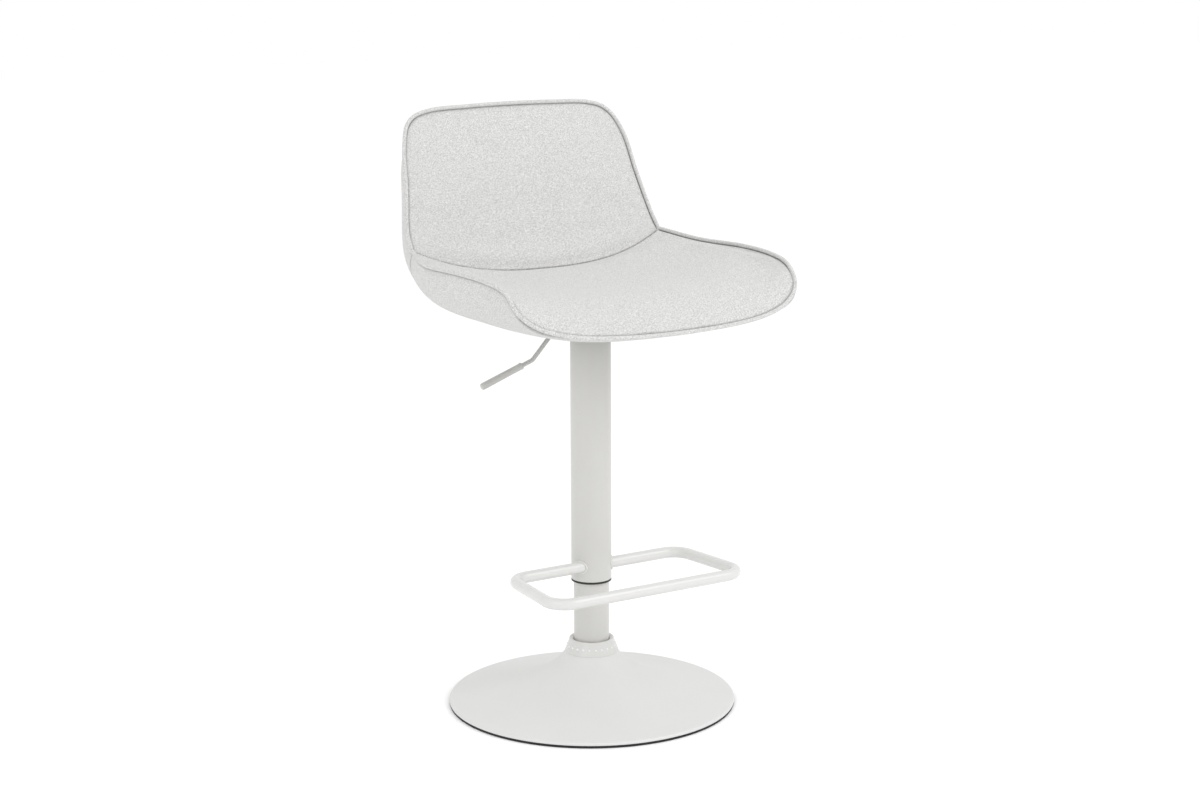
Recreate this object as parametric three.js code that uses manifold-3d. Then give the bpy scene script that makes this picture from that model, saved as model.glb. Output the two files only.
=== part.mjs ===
// A height-adjustable bar stool: an upholstered bucket seat on a swivelling gas lift, with a footrest
// loop on the outer tube and a trumpet-shaped base. Millimetres, +Z up, the sitter faces -Y. The origin
// is the middle of the base on the floor, and the column's axis is the Z axis. The lift is at its lowest.

import * as THREE from "three";
import Module from "manifold-3d";
import { mergeVertices } from "three/addons/utils/BufferGeometryUtils.js";

// ---- Driving dimensions ------------------------------------------------------------------------

const GAP = 0.3; // left between pieces that touch or run on each other

// Base
const BASE_RADIUS = 204;
const RING_HEIGHT = 3.2; // rubber ring that the rim stands on
const RING_WIDTH = 12;
const SHEET = 2; // thickness of the dish's sheet steel
const DISH_NECK_RADIUS = 37;
// The dish rises as RISE / (r + SPREAD) - DROP, steep at the neck and almost flat at the rim.
const DISH_RISE = 8023;
const DISH_SPREAD = 44.4;
const DISH_DROP = 24.6;
const BALLAST_RADIUS = 130;
const BALLAST_BOTTOM = 4.6;
const BALLAST_TOP = 9.6;
const FOOT_RADIUS = 34;
const FOOT_STEM_TOP = 8;

// Column, fixed in the base
const COLUMN_RADIUS = 25;
const COLUMN_WALL = 1.8;
const COLUMN_BOTTOM = 22;
const COLUMN_TOP = 455;
const HUB_WALL = 5;
const HUB_TOP = 72;
const HUB_FLANGE_RADIUS = 48;
const COLLAR_BOTTOM = 74.3;
const COLLAR_TOP = 94;
const COLLAR_FOOT_RADIUS = 36;
const COLLAR_TOP_RADIUS = 31.5;
const COLLAR_BORE = 27;
const BUSHING_LENGTH = 60;

// Gas lift
const ROD_RADIUS = 5;
const CYLINDER_RADIUS = 14;
const CYLINDER_BORE = 12.5;
const CYLINDER_BOTTOM = 65;
const CYLINDER_SHOULDER = 483;
const CYLINDER_TOP = 529;
const CHAMBER_TOP = 470; // top of the gas chamber
const PIN_HOLE_BOTTOM = 490;
const TAPER_TOP_RADIUS = 13;
const BEARING_BOTTOM = 40; // underside of the plate that carries the thrust bearing
const PISTON_BOTTOM = 306;
const PIN_RADIUS = 3.5;
const PIN_BOTTOM = 496;
const PIN_TOP = 532.8;

// Outer tube with the footrest
const OUTER_RADIUS = 28.5;
const OUTER_WALL = 1.5;
const OUTER_BOTTOM = 182;
const OUTER_TOP = 528.7;
const GLIDE_BORE = 25.25;
const FOOTREST_HEIGHT = 203;
const FOOTREST_TUBE_RADIUS = 8;
const FOOTREST_ARM_Y = -11.7;
const FOOTREST_FRONT_Y = -157.2;
const FOOTREST_BACK_HALF_WIDTH = 140;
const FOOTREST_FRONT_HALF_WIDTH = 154.5;
const FOOTREST_BEND = 28;
const FOOTREST_WALL = 1.5;

// Mechanism under the seat
const PLATE_TOP = 546.2;
const PLATE_SHEET = 2.5;
const PLATE_X = 130;
const PLATE_Y = 160;
const PLATE_CORNER = 12;
const TRAY_X = 64;
const TRAY_Y = 56;
const TRAY_BOTTOM = 529;
const SOCKET_BOTTOM = 490;
const BOLT_X = 50; // half the bolt spacing
const BOLT_Y = 65;
const BOLT_RADIUS = 3;
const HEAD_RADIUS = 5.6;
const SPRING_WASHER = 1.2;
const NUT_BOTTOM = 556;
const NUT_FLANGE = 563.3;
const NUT_TOP = 564.8;
const NUT_BARREL_RADIUS = 4.4;
const NUT_FLANGE_RADIUS = 9;
const LEVER_RADIUS = 3;
const LEVER_HEIGHT = 537;
const PIVOT_X = -23;
const GRIP_RADIUS = 4.8;

// Seat. The outline of the seat is one piped edge. It is given on the sitter's left half (+X) and
// mirrored, and it runs from the middle of the front, along the wing to the notch beside the backrest,
// then up the side of the backrest to the middle of its top.
const FRONT_EDGE = [[0, -216, 567], [84, -214, 569], [150, -206, 575], [195, -193, 587]];
const WING_EDGE = [
  [220, -178, 607], [225, -153, 632], [229, -105, 641], [231, -34, 643], [226, 61, 641], [205, 137, 650],
];
const BACK_EDGE = [[205, 137, 650], [202, 155, 676], [191, 176, 732], [183, 196, 784], [166, 213, 819]];
const TOP_EDGE = [[132, 218, 833], [68, 220, 836], [0, 220, 837]];
// Middle lines of the seat's surfaces, as [y, z], one point for each point of the wing and back edges.
const PAN_LINE = [[-216, 567], [-202, 593], [-140, 604], [-50, 602], [40, 603], [112, 612]];
const BACKREST_LINE = [[112, 612], [143, 652], [172, 715], [198, 780], [220, 837]];
const UNDERSIDE_LINE = [
  [-216, 567], [-180, 556], [-100, 549.5], [-20, 548.5], [80, 551], [167, 566], [211, 606], [232, 680],
  [235, 770], [220, 837],
];
const WING_SPANS = WING_EDGE.length - 1;
const BACK_SPANS = BACK_EDGE.length - 1;
const COVER = 3; // fabric with its lining
const PLYWOOD = 9.5; // moulded seat shell
const LAYER_GAP = 0.5;
const PIPING_RADIUS = 2.75;

const ROUND = 32; // sides of the tubes
const ROUND_SMALL = 20; // sides of washers and other small round pieces
const ROUND_BASE = 48; // sides of the base's large discs

// ---- Materials ---------------------------------------------------------------------------------

function finish(color, roughness, metalness) {
  return () => new THREE.MeshStandardMaterial({ color, roughness, metalness });
}

const whiteMetal = finish(0xd9dad6, 0.45, 0.1);
const whitePlastic = finish(0xdcdcd8, 0.5, 0);
const blackSteel = finish(0x26272a, 0.5, 0.3);
const brightSteel = finish(0xb9bcc0, 0.3, 1);
const castIron = finish(0x4a4b4d, 0.8, 0.6);
const blackPlastic = finish(0x1f2022, 0.55, 0);
const blackRubber = finish(0x1a1a1b, 0.85, 0);
const plywood = finish(0xc7a878, 0.7, 0);
const foam = finish(0xe9e4cf, 0.95, 0);
const fabric = finish(0xdddddb, 0.95, 0);

// ---- Solids ------------------------------------------------------------------------------------

const wasm = await Module();
wasm.setup();

// Merges shared vertices, drops slivers without area and turns the faces outwards.
function closed(geometry) {
  geometry.deleteAttribute("normal");
  geometry.deleteAttribute("uv");
  geometry.clearGroups();
  const merged = mergeVertices(geometry, 1e-4);
  const index = merged.index.array;
  const corner = [0, 1, 2].map(() => new THREE.Vector3());
  const kept = [];
  let volume = 0;
  for (let i = 0; i < index.length; i += 3) {
    const [a, b, c] = [index[i], index[i + 1], index[i + 2]];
    if (a === b || b === c || c === a) continue;
    kept.push([a, b, c]);
    [a, b, c].forEach((vertex, k) => corner[k].fromBufferAttribute(merged.attributes.position, vertex));
    volume += corner[0].dot(corner[1].clone().cross(corner[2]));
  }
  merged.setIndex(kept.flatMap(([a, b, c]) => (volume < 0 ? [a, c, b] : [a, b, c])));
  merged.computeVertexNormals();
  return merged;
}

// Turns a profile of [radius, height] points about the Z axis. A ring's profile is closed here.
function turned(profile, sides = ROUND) {
  const points = profile.map(([radius, height]) => new THREE.Vector2(radius, height));
  const onAxis = points[0].x === 0 && points.at(-1).x === 0;
  if (!onAxis) points.push(points[0].clone());
  return closed(new THREE.LatheGeometry(points, sides).rotateX(Math.PI / 2));
}

// A plain ring or washer.
function ring(inner, outer, bottom, top, sides = ROUND) {
  return turned([[inner, bottom], [outer, bottom], [outer, top], [inner, top]], sides);
}

// A plain round bar on the Z axis.
function bar(radius, bottom, top, sides = ROUND) {
  return turned([[0, bottom], [radius, bottom], [radius, top], [0, top]], sides);
}

function block(sizeX, sizeY, bottom, top, x = 0, y = 0) {
  return closed(new THREE.BoxGeometry(sizeX, sizeY, top - bottom).translate(x, y, (bottom + top) / 2));
}

function toManifold(geometry) {
  return new wasm.Manifold(
    new wasm.Mesh({
      numProp: 3,
      vertProperties: new Float32Array(geometry.attributes.position.array),
      triVerts: new Uint32Array(geometry.index.array),
    }),
  );
}

function fromManifold(solid) {
  const mesh = solid.getMesh();
  const geometry = new THREE.BufferGeometry();
  geometry.setAttribute("position", new THREE.BufferAttribute(mesh.vertProperties, 3));
  geometry.setIndex([...mesh.triVerts]);
  geometry.computeVertexNormals();
  return geometry;
}

// Joins the first geometry with those in `added`, then cuts away those in `removed`.
function carve(geometry, { added = [], removed = [] }) {
  let solid = toManifold(geometry);
  for (const piece of added) solid = solid.add(toManifold(piece));
  for (const piece of removed) solid = solid.subtract(toManifold(piece));
  return fromManifold(solid);
}

// A route that puts one section of a sweep on each of its points.
class Route extends THREE.Curve {
  constructor(points) {
    super();
    this.points = points;
  }

  getPoint(t) {
    const along = THREE.MathUtils.clamp(t, 0, 1) * (this.points.length - 1);
    const first = Math.min(Math.floor(along), this.points.length - 2);
    return this.points[first].clone().lerp(this.points[first + 1], along - first);
  }

  getTangentAt(u) {
    return this.getTangent(u);
  }

  getSpacedPoints(divisions) {
    return this.getPoints(divisions);
  }
}

// A round tube or cord of the given radius along a list of points.
function swept(points, radius, sides) {
  const section = new THREE.Shape();
  for (let k = 0; k < sides; k++) {
    const angle = (2 * Math.PI * k) / sides;
    const [x, y] = [radius * Math.cos(angle), radius * Math.sin(angle)];
    if (k === 0) section.moveTo(x, y);
    else section.lineTo(x, y);
  }
  const settings = { steps: points.length - 1, extrudePath: new Route(points), bevelEnabled: false };
  return closed(new THREE.ExtrudeGeometry(section, settings));
}

// The points of a bent tube's middle line: straight runs with an arc of `radius` at each inner corner.
function bent(corners, radius, arcSteps) {
  const points = [corners[0]];
  for (let k = 1; k < corners.length - 1; k++) {
    const back = corners[k - 1].clone().sub(corners[k]).normalize();
    const ahead = corners[k + 1].clone().sub(corners[k]).normalize();
    const half = back.angleTo(ahead) / 2;
    const reach = radius / Math.tan(half);
    const middle = back.clone().add(ahead).normalize();
    const centre = corners[k].clone().addScaledVector(middle, radius / Math.sin(half));
    const start = corners[k].clone().addScaledVector(back, reach).sub(centre);
    const end = corners[k].clone().addScaledVector(ahead, reach).sub(centre);
    const turn = start.clone().cross(end).normalize();
    const sweep = start.angleTo(end);
    for (let step = 0; step <= arcSteps; step++) {
      const arm = start.clone().applyAxisAngle(turn, (sweep * step) / arcSteps);
      points.push(centre.clone().add(arm));
    }
  }
  points.push(corners.at(-1));
  return points;
}

const group = new THREE.Group();

function place(name, geometry, material) {
  const mesh = new THREE.Mesh(geometry, material());
  mesh.name = name;
  group.add(mesh);
}

// ---- Base and column ---------------------------------------------------------------------------

function dishHeight(radius) {
  return DISH_RISE / (radius + DISH_SPREAD) - DISH_DROP;
}

function baseDish() {
  const rimBottom = RING_HEIGHT + GAP;
  const rimTop = dishHeight(BASE_RADIUS - 2);
  const radii = [199, 172, 140, 108, 82, 62, 48, DISH_NECK_RADIUS];
  const outside = radii.map((radius) => [radius, dishHeight(radius)]);
  const inside = radii.map((radius) => [radius - SHEET, dishHeight(radius) - SHEET]).reverse();
  inside.pop();
  return turned(
    [
      [BASE_RADIUS - SHEET, rimBottom],
      [BASE_RADIUS, rimBottom],
      [BASE_RADIUS, rimTop - 1],
      [BASE_RADIUS - 1.5, rimTop],
      ...outside,
      ...inside,
      [BASE_RADIUS - SHEET, rimTop - SHEET],
    ],
    ROUND_BASE,
  );
}

function ballastPlate() {
  return ring(COLUMN_RADIUS + 4, BALLAST_RADIUS, BALLAST_BOTTOM, BALLAST_TOP, ROUND_BASE);
}

function centreFoot() {
  const stem = COLUMN_RADIUS + 4 - GAP;
  const flangeTop = BALLAST_BOTTOM - GAP;
  return turned([
    [0, 0],
    [FOOT_RADIUS, 0],
    [FOOT_RADIUS, flangeTop],
    [stem, flangeTop],
    [stem, FOOT_STEM_TOP],
    [0, FOOT_STEM_TOP],
  ]);
}

function baseHub() {
  const bore = COLUMN_RADIUS + GAP;
  const flangeBottom = BALLAST_TOP + GAP;
  return turned([
    [bore, flangeBottom],
    [HUB_FLANGE_RADIUS, flangeBottom],
    [HUB_FLANGE_RADIUS, flangeBottom + 5],
    [bore + HUB_WALL, flangeBottom + 9],
    [bore + HUB_WALL, HUB_TOP],
    [bore, HUB_TOP],
  ]);
}

function columnTube() {
  return ring(COLUMN_RADIUS - COLUMN_WALL, COLUMN_RADIUS, COLUMN_BOTTOM, COLUMN_TOP);
}

function columnCollar() {
  return turned([
    [COLLAR_BORE + 3, COLLAR_BOTTOM],
    [COLLAR_FOOT_RADIUS, COLLAR_BOTTOM],
    [COLLAR_TOP_RADIUS, COLLAR_TOP - 1],
    [COLLAR_TOP_RADIUS - 1, COLLAR_TOP],
    [COLLAR_BORE, COLLAR_TOP],
    [COLLAR_BORE, COLLAR_TOP - 3],
  ]);
}

function guideBushing() {
  const bore = CYLINDER_RADIUS + GAP;
  const body = COLUMN_RADIUS - COLUMN_WALL - GAP;
  const flangeBottom = COLUMN_TOP + GAP;
  return turned([
    [bore, COLUMN_TOP - BUSHING_LENGTH],
    [body, COLUMN_TOP - BUSHING_LENGTH],
    [body, flangeBottom],
    [COLUMN_RADIUS - 0.2, flangeBottom],
    [COLUMN_RADIUS - 0.2, flangeBottom + 2.5],
    [bore, flangeBottom + 2.5],
  ]);
}

const ROD_BORE = ROD_RADIUS + GAP;
const BEARING_TOP = BEARING_BOTTOM + 6;
const WASHER = 1.5;
const WASHER_RADIUS = 12;
const CAGE = 3.4;
const LOWER_WASHER = BEARING_TOP + GAP;
const CAGE_BOTTOM = LOWER_WASHER + WASHER + GAP;
const UPPER_WASHER = CAGE_BOTTOM + CAGE + GAP;
const ROD_SHOULDER = UPPER_WASHER + WASHER + GAP;
const ROD_SHOULDER_RADIUS = 8;
const BUMPER_BOTTOM = ROD_SHOULDER + 4 + GAP;

function placeBase() {
  place("base_dish", baseDish(), whiteMetal);
  place("floor_ring", ring(BASE_RADIUS - RING_WIDTH, BASE_RADIUS, 0, RING_HEIGHT, ROUND_BASE), blackRubber);
  place("ballast_plate", ballastPlate(), castIron);
  place("centre_foot", centreFoot(), blackRubber);
  place("base_hub", baseHub(), blackSteel);
  place("column_tube", columnTube(), whiteMetal);
  place("column_collar", columnCollar(), whitePlastic);
  place("guide_bushing", guideBushing(), blackPlastic);
  const plateRadius = COLUMN_RADIUS - COLUMN_WALL - GAP;
  place("bearing_plate", ring(ROD_BORE, plateRadius, BEARING_BOTTOM, BEARING_TOP), brightSteel);
  place("thrust_washer_lower", rodRing(WASHER_RADIUS, LOWER_WASHER, LOWER_WASHER + WASHER), brightSteel);
}

// ---- Gas lift ----------------------------------------------------------------------------------

// A small ring that sits round the piston rod.
function rodRing(radius, bottom, top) {
  return ring(ROD_BORE, radius, bottom, top, ROUND_SMALL);
}

function pistonRod() {
  const end = BEARING_BOTTOM - 6;
  return turned([
    [0, end],
    [ROD_RADIUS, end],
    [ROD_RADIUS, ROD_SHOULDER],
    [ROD_SHOULDER_RADIUS, ROD_SHOULDER],
    [ROD_SHOULDER_RADIUS, BUMPER_BOTTOM - GAP],
    [ROD_RADIUS, BUMPER_BOTTOM - GAP],
    [ROD_RADIUS, PISTON_BOTTOM - GAP],
    [0, PISTON_BOTTOM - GAP],
  ]);
}

function gasCylinder() {
  const pinHole = PIN_RADIUS + GAP;
  return turned([
    [0, CHAMBER_TOP],
    [CYLINDER_BORE, CHAMBER_TOP],
    [CYLINDER_BORE, CYLINDER_BOTTOM],
    [CYLINDER_RADIUS, CYLINDER_BOTTOM],
    [CYLINDER_RADIUS, CYLINDER_SHOULDER],
    [TAPER_TOP_RADIUS, CYLINDER_TOP - 1],
    [TAPER_TOP_RADIUS - 1, CYLINDER_TOP],
    [pinHole, CYLINDER_TOP],
    [pinHole, PIN_HOLE_BOTTOM],
    [0, PIN_HOLE_BOTTOM],
  ]);
}

function placeGasLift() {
  const inChamber = CYLINDER_BORE - GAP;
  const gland = ring(ROD_BORE, inChamber, CYLINDER_BOTTOM + 1, CYLINDER_BOTTOM + 19);
  place("piston_rod", pistonRod(), brightSteel);
  place("piston", bar(inChamber, PISTON_BOTTOM, PISTON_BOTTOM + 18), blackPlastic);
  place("thrust_washer_upper", rodRing(WASHER_RADIUS, UPPER_WASHER, UPPER_WASHER + WASHER), brightSteel);
  place("ball_cage", rodRing(WASHER_RADIUS - 0.5, CAGE_BOTTOM, CAGE_BOTTOM + CAGE), brightSteel);
  place("rod_clip", rodRing(WASHER_RADIUS - 2, BEARING_BOTTOM - GAP - 2, BEARING_BOTTOM - GAP), brightSteel);
  place("bump_stop", rodRing(WASHER_RADIUS, BUMPER_BOTTOM, CYLINDER_BOTTOM - GAP), blackRubber);
  place("gas_cylinder", gasCylinder(), blackSteel);
  place("cylinder_gland", gland, blackPlastic);
  place("release_pin", bar(PIN_RADIUS, PIN_BOTTOM, PIN_TOP, ROUND_SMALL), brightSteel);
}

// ---- Outer tube and footrest -------------------------------------------------------------------

function glideRing() {
  return turned([
    [GLIDE_BORE, OUTER_BOTTOM - 3],
    [OUTER_RADIUS, OUTER_BOTTOM - 3],
    [OUTER_RADIUS, OUTER_BOTTOM - GAP],
    [OUTER_RADIUS - OUTER_WALL - GAP, OUTER_BOTTOM - GAP],
    [OUTER_RADIUS - OUTER_WALL - GAP, OUTER_BOTTOM + 18],
    [GLIDE_BORE, OUTER_BOTTOM + 18],
  ]);
}

function footrest() {
  const at = (x, y) => new THREE.Vector3(x, y, FOOTREST_HEIGHT);
  const half = [
    at(OUTER_RADIUS - FOOTREST_TUBE_RADIUS, FOOTREST_ARM_Y),
    at(FOOTREST_BACK_HALF_WIDTH, FOOTREST_ARM_Y),
    at(FOOTREST_FRONT_HALF_WIDTH, FOOTREST_FRONT_Y),
  ];
  const mirrored = half.map((p) => at(-p.x, p.y)).reverse();
  const route = bent([...half, ...mirrored], FOOTREST_BEND, 6);
  const loop = swept(route, FOOTREST_TUBE_RADIUS, 12);
  const bore = swept(route, FOOTREST_TUBE_RADIUS - FOOTREST_WALL, 12);
  const fit = bar(OUTER_RADIUS + GAP, FOOTREST_HEIGHT - 20, FOOTREST_HEIGHT + 20, ROUND);
  return carve(loop, { removed: [bore, fit] });
}

// The ring that centres the outer tube on the gas lift, just under the taper socket.
function tubeTopRing(radius) {
  return ring(CYLINDER_RADIUS + GAP, radius, CYLINDER_SHOULDER + 1, SOCKET_BOTTOM - GAP);
}

function placeOuterTube() {
  const bore = OUTER_RADIUS - OUTER_WALL;
  place("outer_tube", ring(bore, OUTER_RADIUS, OUTER_BOTTOM, OUTER_TOP), whiteMetal);
  place("glide_ring", glideRing(), blackPlastic);
  place("tube_top_ring", tubeTopRing(bore - GAP), blackSteel);
  place("footrest", footrest(), whiteMetal);
}

// ---- Mechanism ---------------------------------------------------------------------------------

function roundedPlate(sizeX, sizeY, corner, bottom, top) {
  const [x, y] = [sizeX / 2, sizeY / 2];
  const outline = new THREE.Shape();
  outline.absarc(x - corner, y - corner, corner, 0, Math.PI / 2);
  outline.absarc(corner - x, y - corner, corner, Math.PI / 2, Math.PI);
  outline.absarc(corner - x, corner - y, corner, Math.PI, 1.5 * Math.PI);
  outline.absarc(x - corner, corner - y, corner, 1.5 * Math.PI, 2 * Math.PI);
  const settings = { depth: top - bottom, bevelEnabled: false, curveSegments: 4 };
  return closed(new THREE.ExtrudeGeometry(outline, settings).translate(0, 0, bottom));
}

function boltPlaces() {
  return [-1, 1].flatMap((sx) => [-1, 1].map((sy) => [sx * BOLT_X, sy * BOLT_Y]));
}

function boltHoles(radius, bottom, top) {
  return boltPlaces().map(([x, y]) => bar(radius, bottom, top, 16).translate(x, y, 0));
}

// The plate has a tray pressed down in its middle, with a slot in the tray's side for the lever and a
// notch in the plate's edge above it.
function mechanismPlate() {
  const flangeBottom = PLATE_TOP - PLATE_SHEET;
  const flange = roundedPlate(PLATE_X, PLATE_Y, PLATE_CORNER, flangeBottom, PLATE_TOP);
  const tray = roundedPlate(TRAY_X, TRAY_Y, 8, TRAY_BOTTOM, PLATE_TOP);
  const inside = roundedPlate(
    TRAY_X - 2 * PLATE_SHEET, TRAY_Y - 2 * PLATE_SHEET, 6, TRAY_BOTTOM + PLATE_SHEET, PLATE_TOP + 1,
  );
  const socketHole = bar(CYLINDER_RADIUS, TRAY_BOTTOM - 1, TRAY_BOTTOM + PLATE_SHEET + 1);
  const leverRoom = 2 * LEVER_RADIUS + 4;
  const slot = block(10, leverRoom, LEVER_HEIGHT - 5.2, flangeBottom, -TRAY_X / 2, 0);
  const notch = block(20, leverRoom, flangeBottom - 1, PLATE_TOP + 1, -PLATE_X / 2, 0);
  const holes = boltHoles(BOLT_RADIUS + 0.4, flangeBottom - 1, PLATE_TOP + 1);
  return carve(flange, { added: [tray], removed: [inside, socketHole, slot, notch, ...holes] });
}

function taperSocket() {
  const top = TRAY_BOTTOM - GAP;
  const slope = (CYLINDER_RADIUS - TAPER_TOP_RADIUS) / (CYLINDER_TOP - 1 - CYLINDER_SHOULDER);
  const bore = (height) => CYLINDER_RADIUS + GAP - slope * (height - CYLINDER_SHOULDER);
  return turned([[bore(SOCKET_BOTTOM), SOCKET_BOTTOM], [18, SOCKET_BOTTOM], [20, top], [bore(top), top]]);
}

// Two ears on a foot, which hold the lever's pivot inside the tray.
function leverBracket() {
  const floor = TRAY_BOTTOM + PLATE_SHEET + GAP;
  const ears = [-1, 1].map((side) => block(10, 2, floor, LEVER_HEIGHT + 4, PIVOT_X, side * 6));
  const foot = block(10, 14, floor, floor + 1, PIVOT_X, 0);
  const pivotHole = leverPivotBar(BOLT_RADIUS / 2 + GAP, 20);
  return carve(foot, { added: ears, removed: [pivotHole] });
}

function leverPivotBar(radius, length) {
  return closed(new THREE.CylinderGeometry(radius, radius, length, 16).translate(PIVOT_X, 0, LEVER_HEIGHT));
}

function leverCorners() {
  const at = (x, z) => new THREE.Vector3(x, 0, z);
  return [at(4, LEVER_HEIGHT), at(-65, LEVER_HEIGHT), at(-94, 506), at(-172, 478)];
}

function releaseLever() {
  const route = bent(leverCorners(), 9, 4);
  const rod = swept(route, LEVER_RADIUS, 12);
  return carve(rod, { removed: [leverPivotBar(BOLT_RADIUS / 2 + GAP, 20)] });
}

// A sleeve over the end of the lever, closed at its tip.
function leverGrip() {
  const [, , bend, tip] = leverCorners();
  const along = tip.clone().sub(bend).normalize();
  const start = bend.clone().addScaledVector(along, 18);
  const end = tip.clone().addScaledVector(along, 3);
  const sleeve = swept([start, end], GRIP_RADIUS, 16);
  const mouth = start.clone().addScaledVector(along, -2);
  const bore = swept([mouth, tip.clone().addScaledVector(along, GAP)], LEVER_RADIUS + GAP, 16);
  return carve(sleeve, { removed: [bore] });
}

function hexHead(bottom, top) {
  const head = new THREE.CylinderGeometry(HEAD_RADIUS, HEAD_RADIUS, top - bottom, 6).rotateX(Math.PI / 2);
  return closed(head.translate(0, 0, (bottom + top) / 2));
}

function seatBolt() {
  const washerBottom = PLATE_TOP - PLATE_SHEET - GAP - SPRING_WASHER;
  const headTop = washerBottom - GAP;
  const shank = bar(BOLT_RADIUS, headTop - 1, NUT_FLANGE - 1.3, 16);
  return carve(hexHead(headTop - 4, headTop), { added: [shank] });
}

function springWasher() {
  const top = PLATE_TOP - PLATE_SHEET - GAP;
  return ring(BOLT_RADIUS + GAP, HEAD_RADIUS, top - SPRING_WASHER, top, 16);
}

// The nut is pushed into the shell from above: a barrel with a wide flange.
function teeNut() {
  const bore = BOLT_RADIUS + GAP;
  return turned(
    [
      [bore, NUT_BOTTOM],
      [NUT_BARREL_RADIUS, NUT_BOTTOM],
      [NUT_BARREL_RADIUS, NUT_FLANGE],
      [NUT_FLANGE_RADIUS, NUT_FLANGE],
      [NUT_FLANGE_RADIUS, NUT_TOP],
      [bore, NUT_TOP],
    ],
    16,
  );
}

function placeMechanism() {
  place("mechanism_plate", mechanismPlate(), blackSteel);
  place("taper_socket", taperSocket(), blackSteel);
  place("lever_bracket", leverBracket(), brightSteel);
  place("lever_pivot", leverPivotBar(BOLT_RADIUS / 2, 15), brightSteel);
  place("release_lever", releaseLever(), whiteMetal);
  place("lever_grip", leverGrip(), whitePlastic);
  boltPlaces().forEach(([x, y], k) => {
    place(`seat_bolt_${k + 1}`, seatBolt().translate(x, y, 0), brightSteel);
    place(`spring_washer_${k + 1}`, springWasher().translate(x, y, 0), brightSteel);
    place(`tee_nut_${k + 1}`, teeNut().translate(x, y, 0), brightSteel);
  });
}

// ---- Seat --------------------------------------------------------------------------------------

// A smooth curve through the points: `count` counts points from 0. Where the curve carries on past its
// ends, `before` and `after` are its next points there.
function through(points, count, before, after) {
  const last = points.length - 1;
  const mirror = (end, next) => end.map((value, k) => 2 * value - next[k]);
  const head = before ?? mirror(points[0], points[1]);
  const tail = after ?? mirror(points[last], points[last - 1]);
  const all = [head, ...points, tail];
  const first = Math.min(Math.floor(count), last - 1);
  const u = count - first;
  return points[0].map((_, k) => {
    const [a, b, c, d] = all.slice(first, first + 4).map((point) => point[k]);
    const [square, cube] = [2 * a - 5 * b + 4 * c - d, 3 * b - a - 3 * c + d];
    return 0.5 * (2 * b + (c - a) * u + square * u ** 2 + cube * u ** 3);
  });
}

const LAST_STATION = WING_SPANS + BACK_SPANS;

function sideEdge(station) {
  if (station <= WING_SPANS) return through(WING_EDGE, station, FRONT_EDGE.at(-1));
  return through(BACK_EDGE, station - WING_SPANS, undefined, TOP_EDGE[0]);
}

function innerMiddle(station) {
  if (station <= WING_SPANS) return through(PAN_LINE, station);
  return through(BACKREST_LINE, station - WING_SPANS);
}

// The front or top edge, by the share of its half width from 0 in the middle to 1 at the corner.
function crossEdge(points, next, share) {
  const mirrored = [-points[1][0], points[1][1], points[1][2]];
  const last = points.length - 1;
  let [low, high] = [0, last];
  for (let k = 0; k < 40; k++) {
    const middle = (low + high) / 2;
    if (through(points, middle, mirrored, next)[0] < share * points[last][0]) low = middle;
    else high = middle;
  }
  return through(points, low, mirrored, next);
}

const frontEdge = (share) => crossEdge([...FRONT_EDGE, WING_EDGE[0]], WING_EDGE[1], share);
const TOP_HALF = [...TOP_EDGE].reverse().concat([BACK_EDGE.at(-1)]);
const topEdge = (share) => crossEdge(TOP_HALF, BACK_EDGE.at(-2), share);

const easeInOut = (x) => x * x * (3 - 2 * x);
const clamp01 = (x) => Math.min(Math.max(x, 0), 1);

// How fast the sides rise from the middle line: a flat pan between steep wings, a gently hollow back.
function riseExponent(station) {
  const stops = [[0, 3.8], [1, 3.6], [WING_SPANS - 1, 3.2], [WING_SPANS + 1, 2.2], [LAST_STATION, 6]];
  for (let k = 1; k < stops.length; k++) {
    const [[from, low], [to, high]] = [stops[k - 1], stops[k]];
    if (station <= to) return low + ((high - low) * (station - from)) / (to - from);
  }
  return stops.at(-1)[1];
}

// A point of the seat's surface: `station` runs from the front (0) over the notch to the top, `across`
// from -1 to 1. The inner side is the one that is sat on, and the outer side is a rounded trough.
function seatPoint(side, station, across) {
  const share = Math.abs(across);
  const edge = sideEdge(station);
  const middle = side === "inner" ? innerMiddle(station) : through(UNDERSIDE_LINE, station);
  const nearest = Math.min(station, LAST_STATION - station);
  const trough = side === "inner" ? 0 : easeInOut(clamp01(nearest / 1.5));
  const angle = (share * Math.PI) / 2;
  const wall = 1 - Math.cos(angle) ** 0.62;
  const reachX = share * (1 - trough) + Math.sin(angle) ** 0.8 * trough;
  const reachY = share ** 2.2 * (1 - trough) + wall * trough;
  const reachZ = share ** riseExponent(station) * (1 - trough) + wall * trough;
  const point = [
    edge[0] * reachX,
    middle[0] + (edge[1] - middle[0]) * reachY,
    middle[1] + (edge[2] - middle[1]) * reachZ,
  ];
  // Near the front and the top the surface is drawn onto those edges.
  for (const [end, line] of [[0, frontEdge], [LAST_STATION, topEdge]]) {
    const pull = clamp01(1 - Math.abs(station - end) / 1.5) ** 2;
    if (pull === 0) continue;
    const rowEdge = sideEdge(end);
    const rowMiddle = innerMiddle(end);
    const rise = share ** riseExponent(end);
    const wanted = line(share);
    point[0] += pull * (wanted[0] - rowEdge[0] * share);
    point[1] += pull * (wanted[1] - rowMiddle[0] - (rowEdge[1] - rowMiddle[0]) * share ** 2.2);
    point[2] += pull * (wanted[2] - rowMiddle[1] - (rowEdge[2] - rowMiddle[1]) * rise);
  }
  return new THREE.Vector3(Math.sign(across) * point[0], point[1], point[2]);
}

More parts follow.
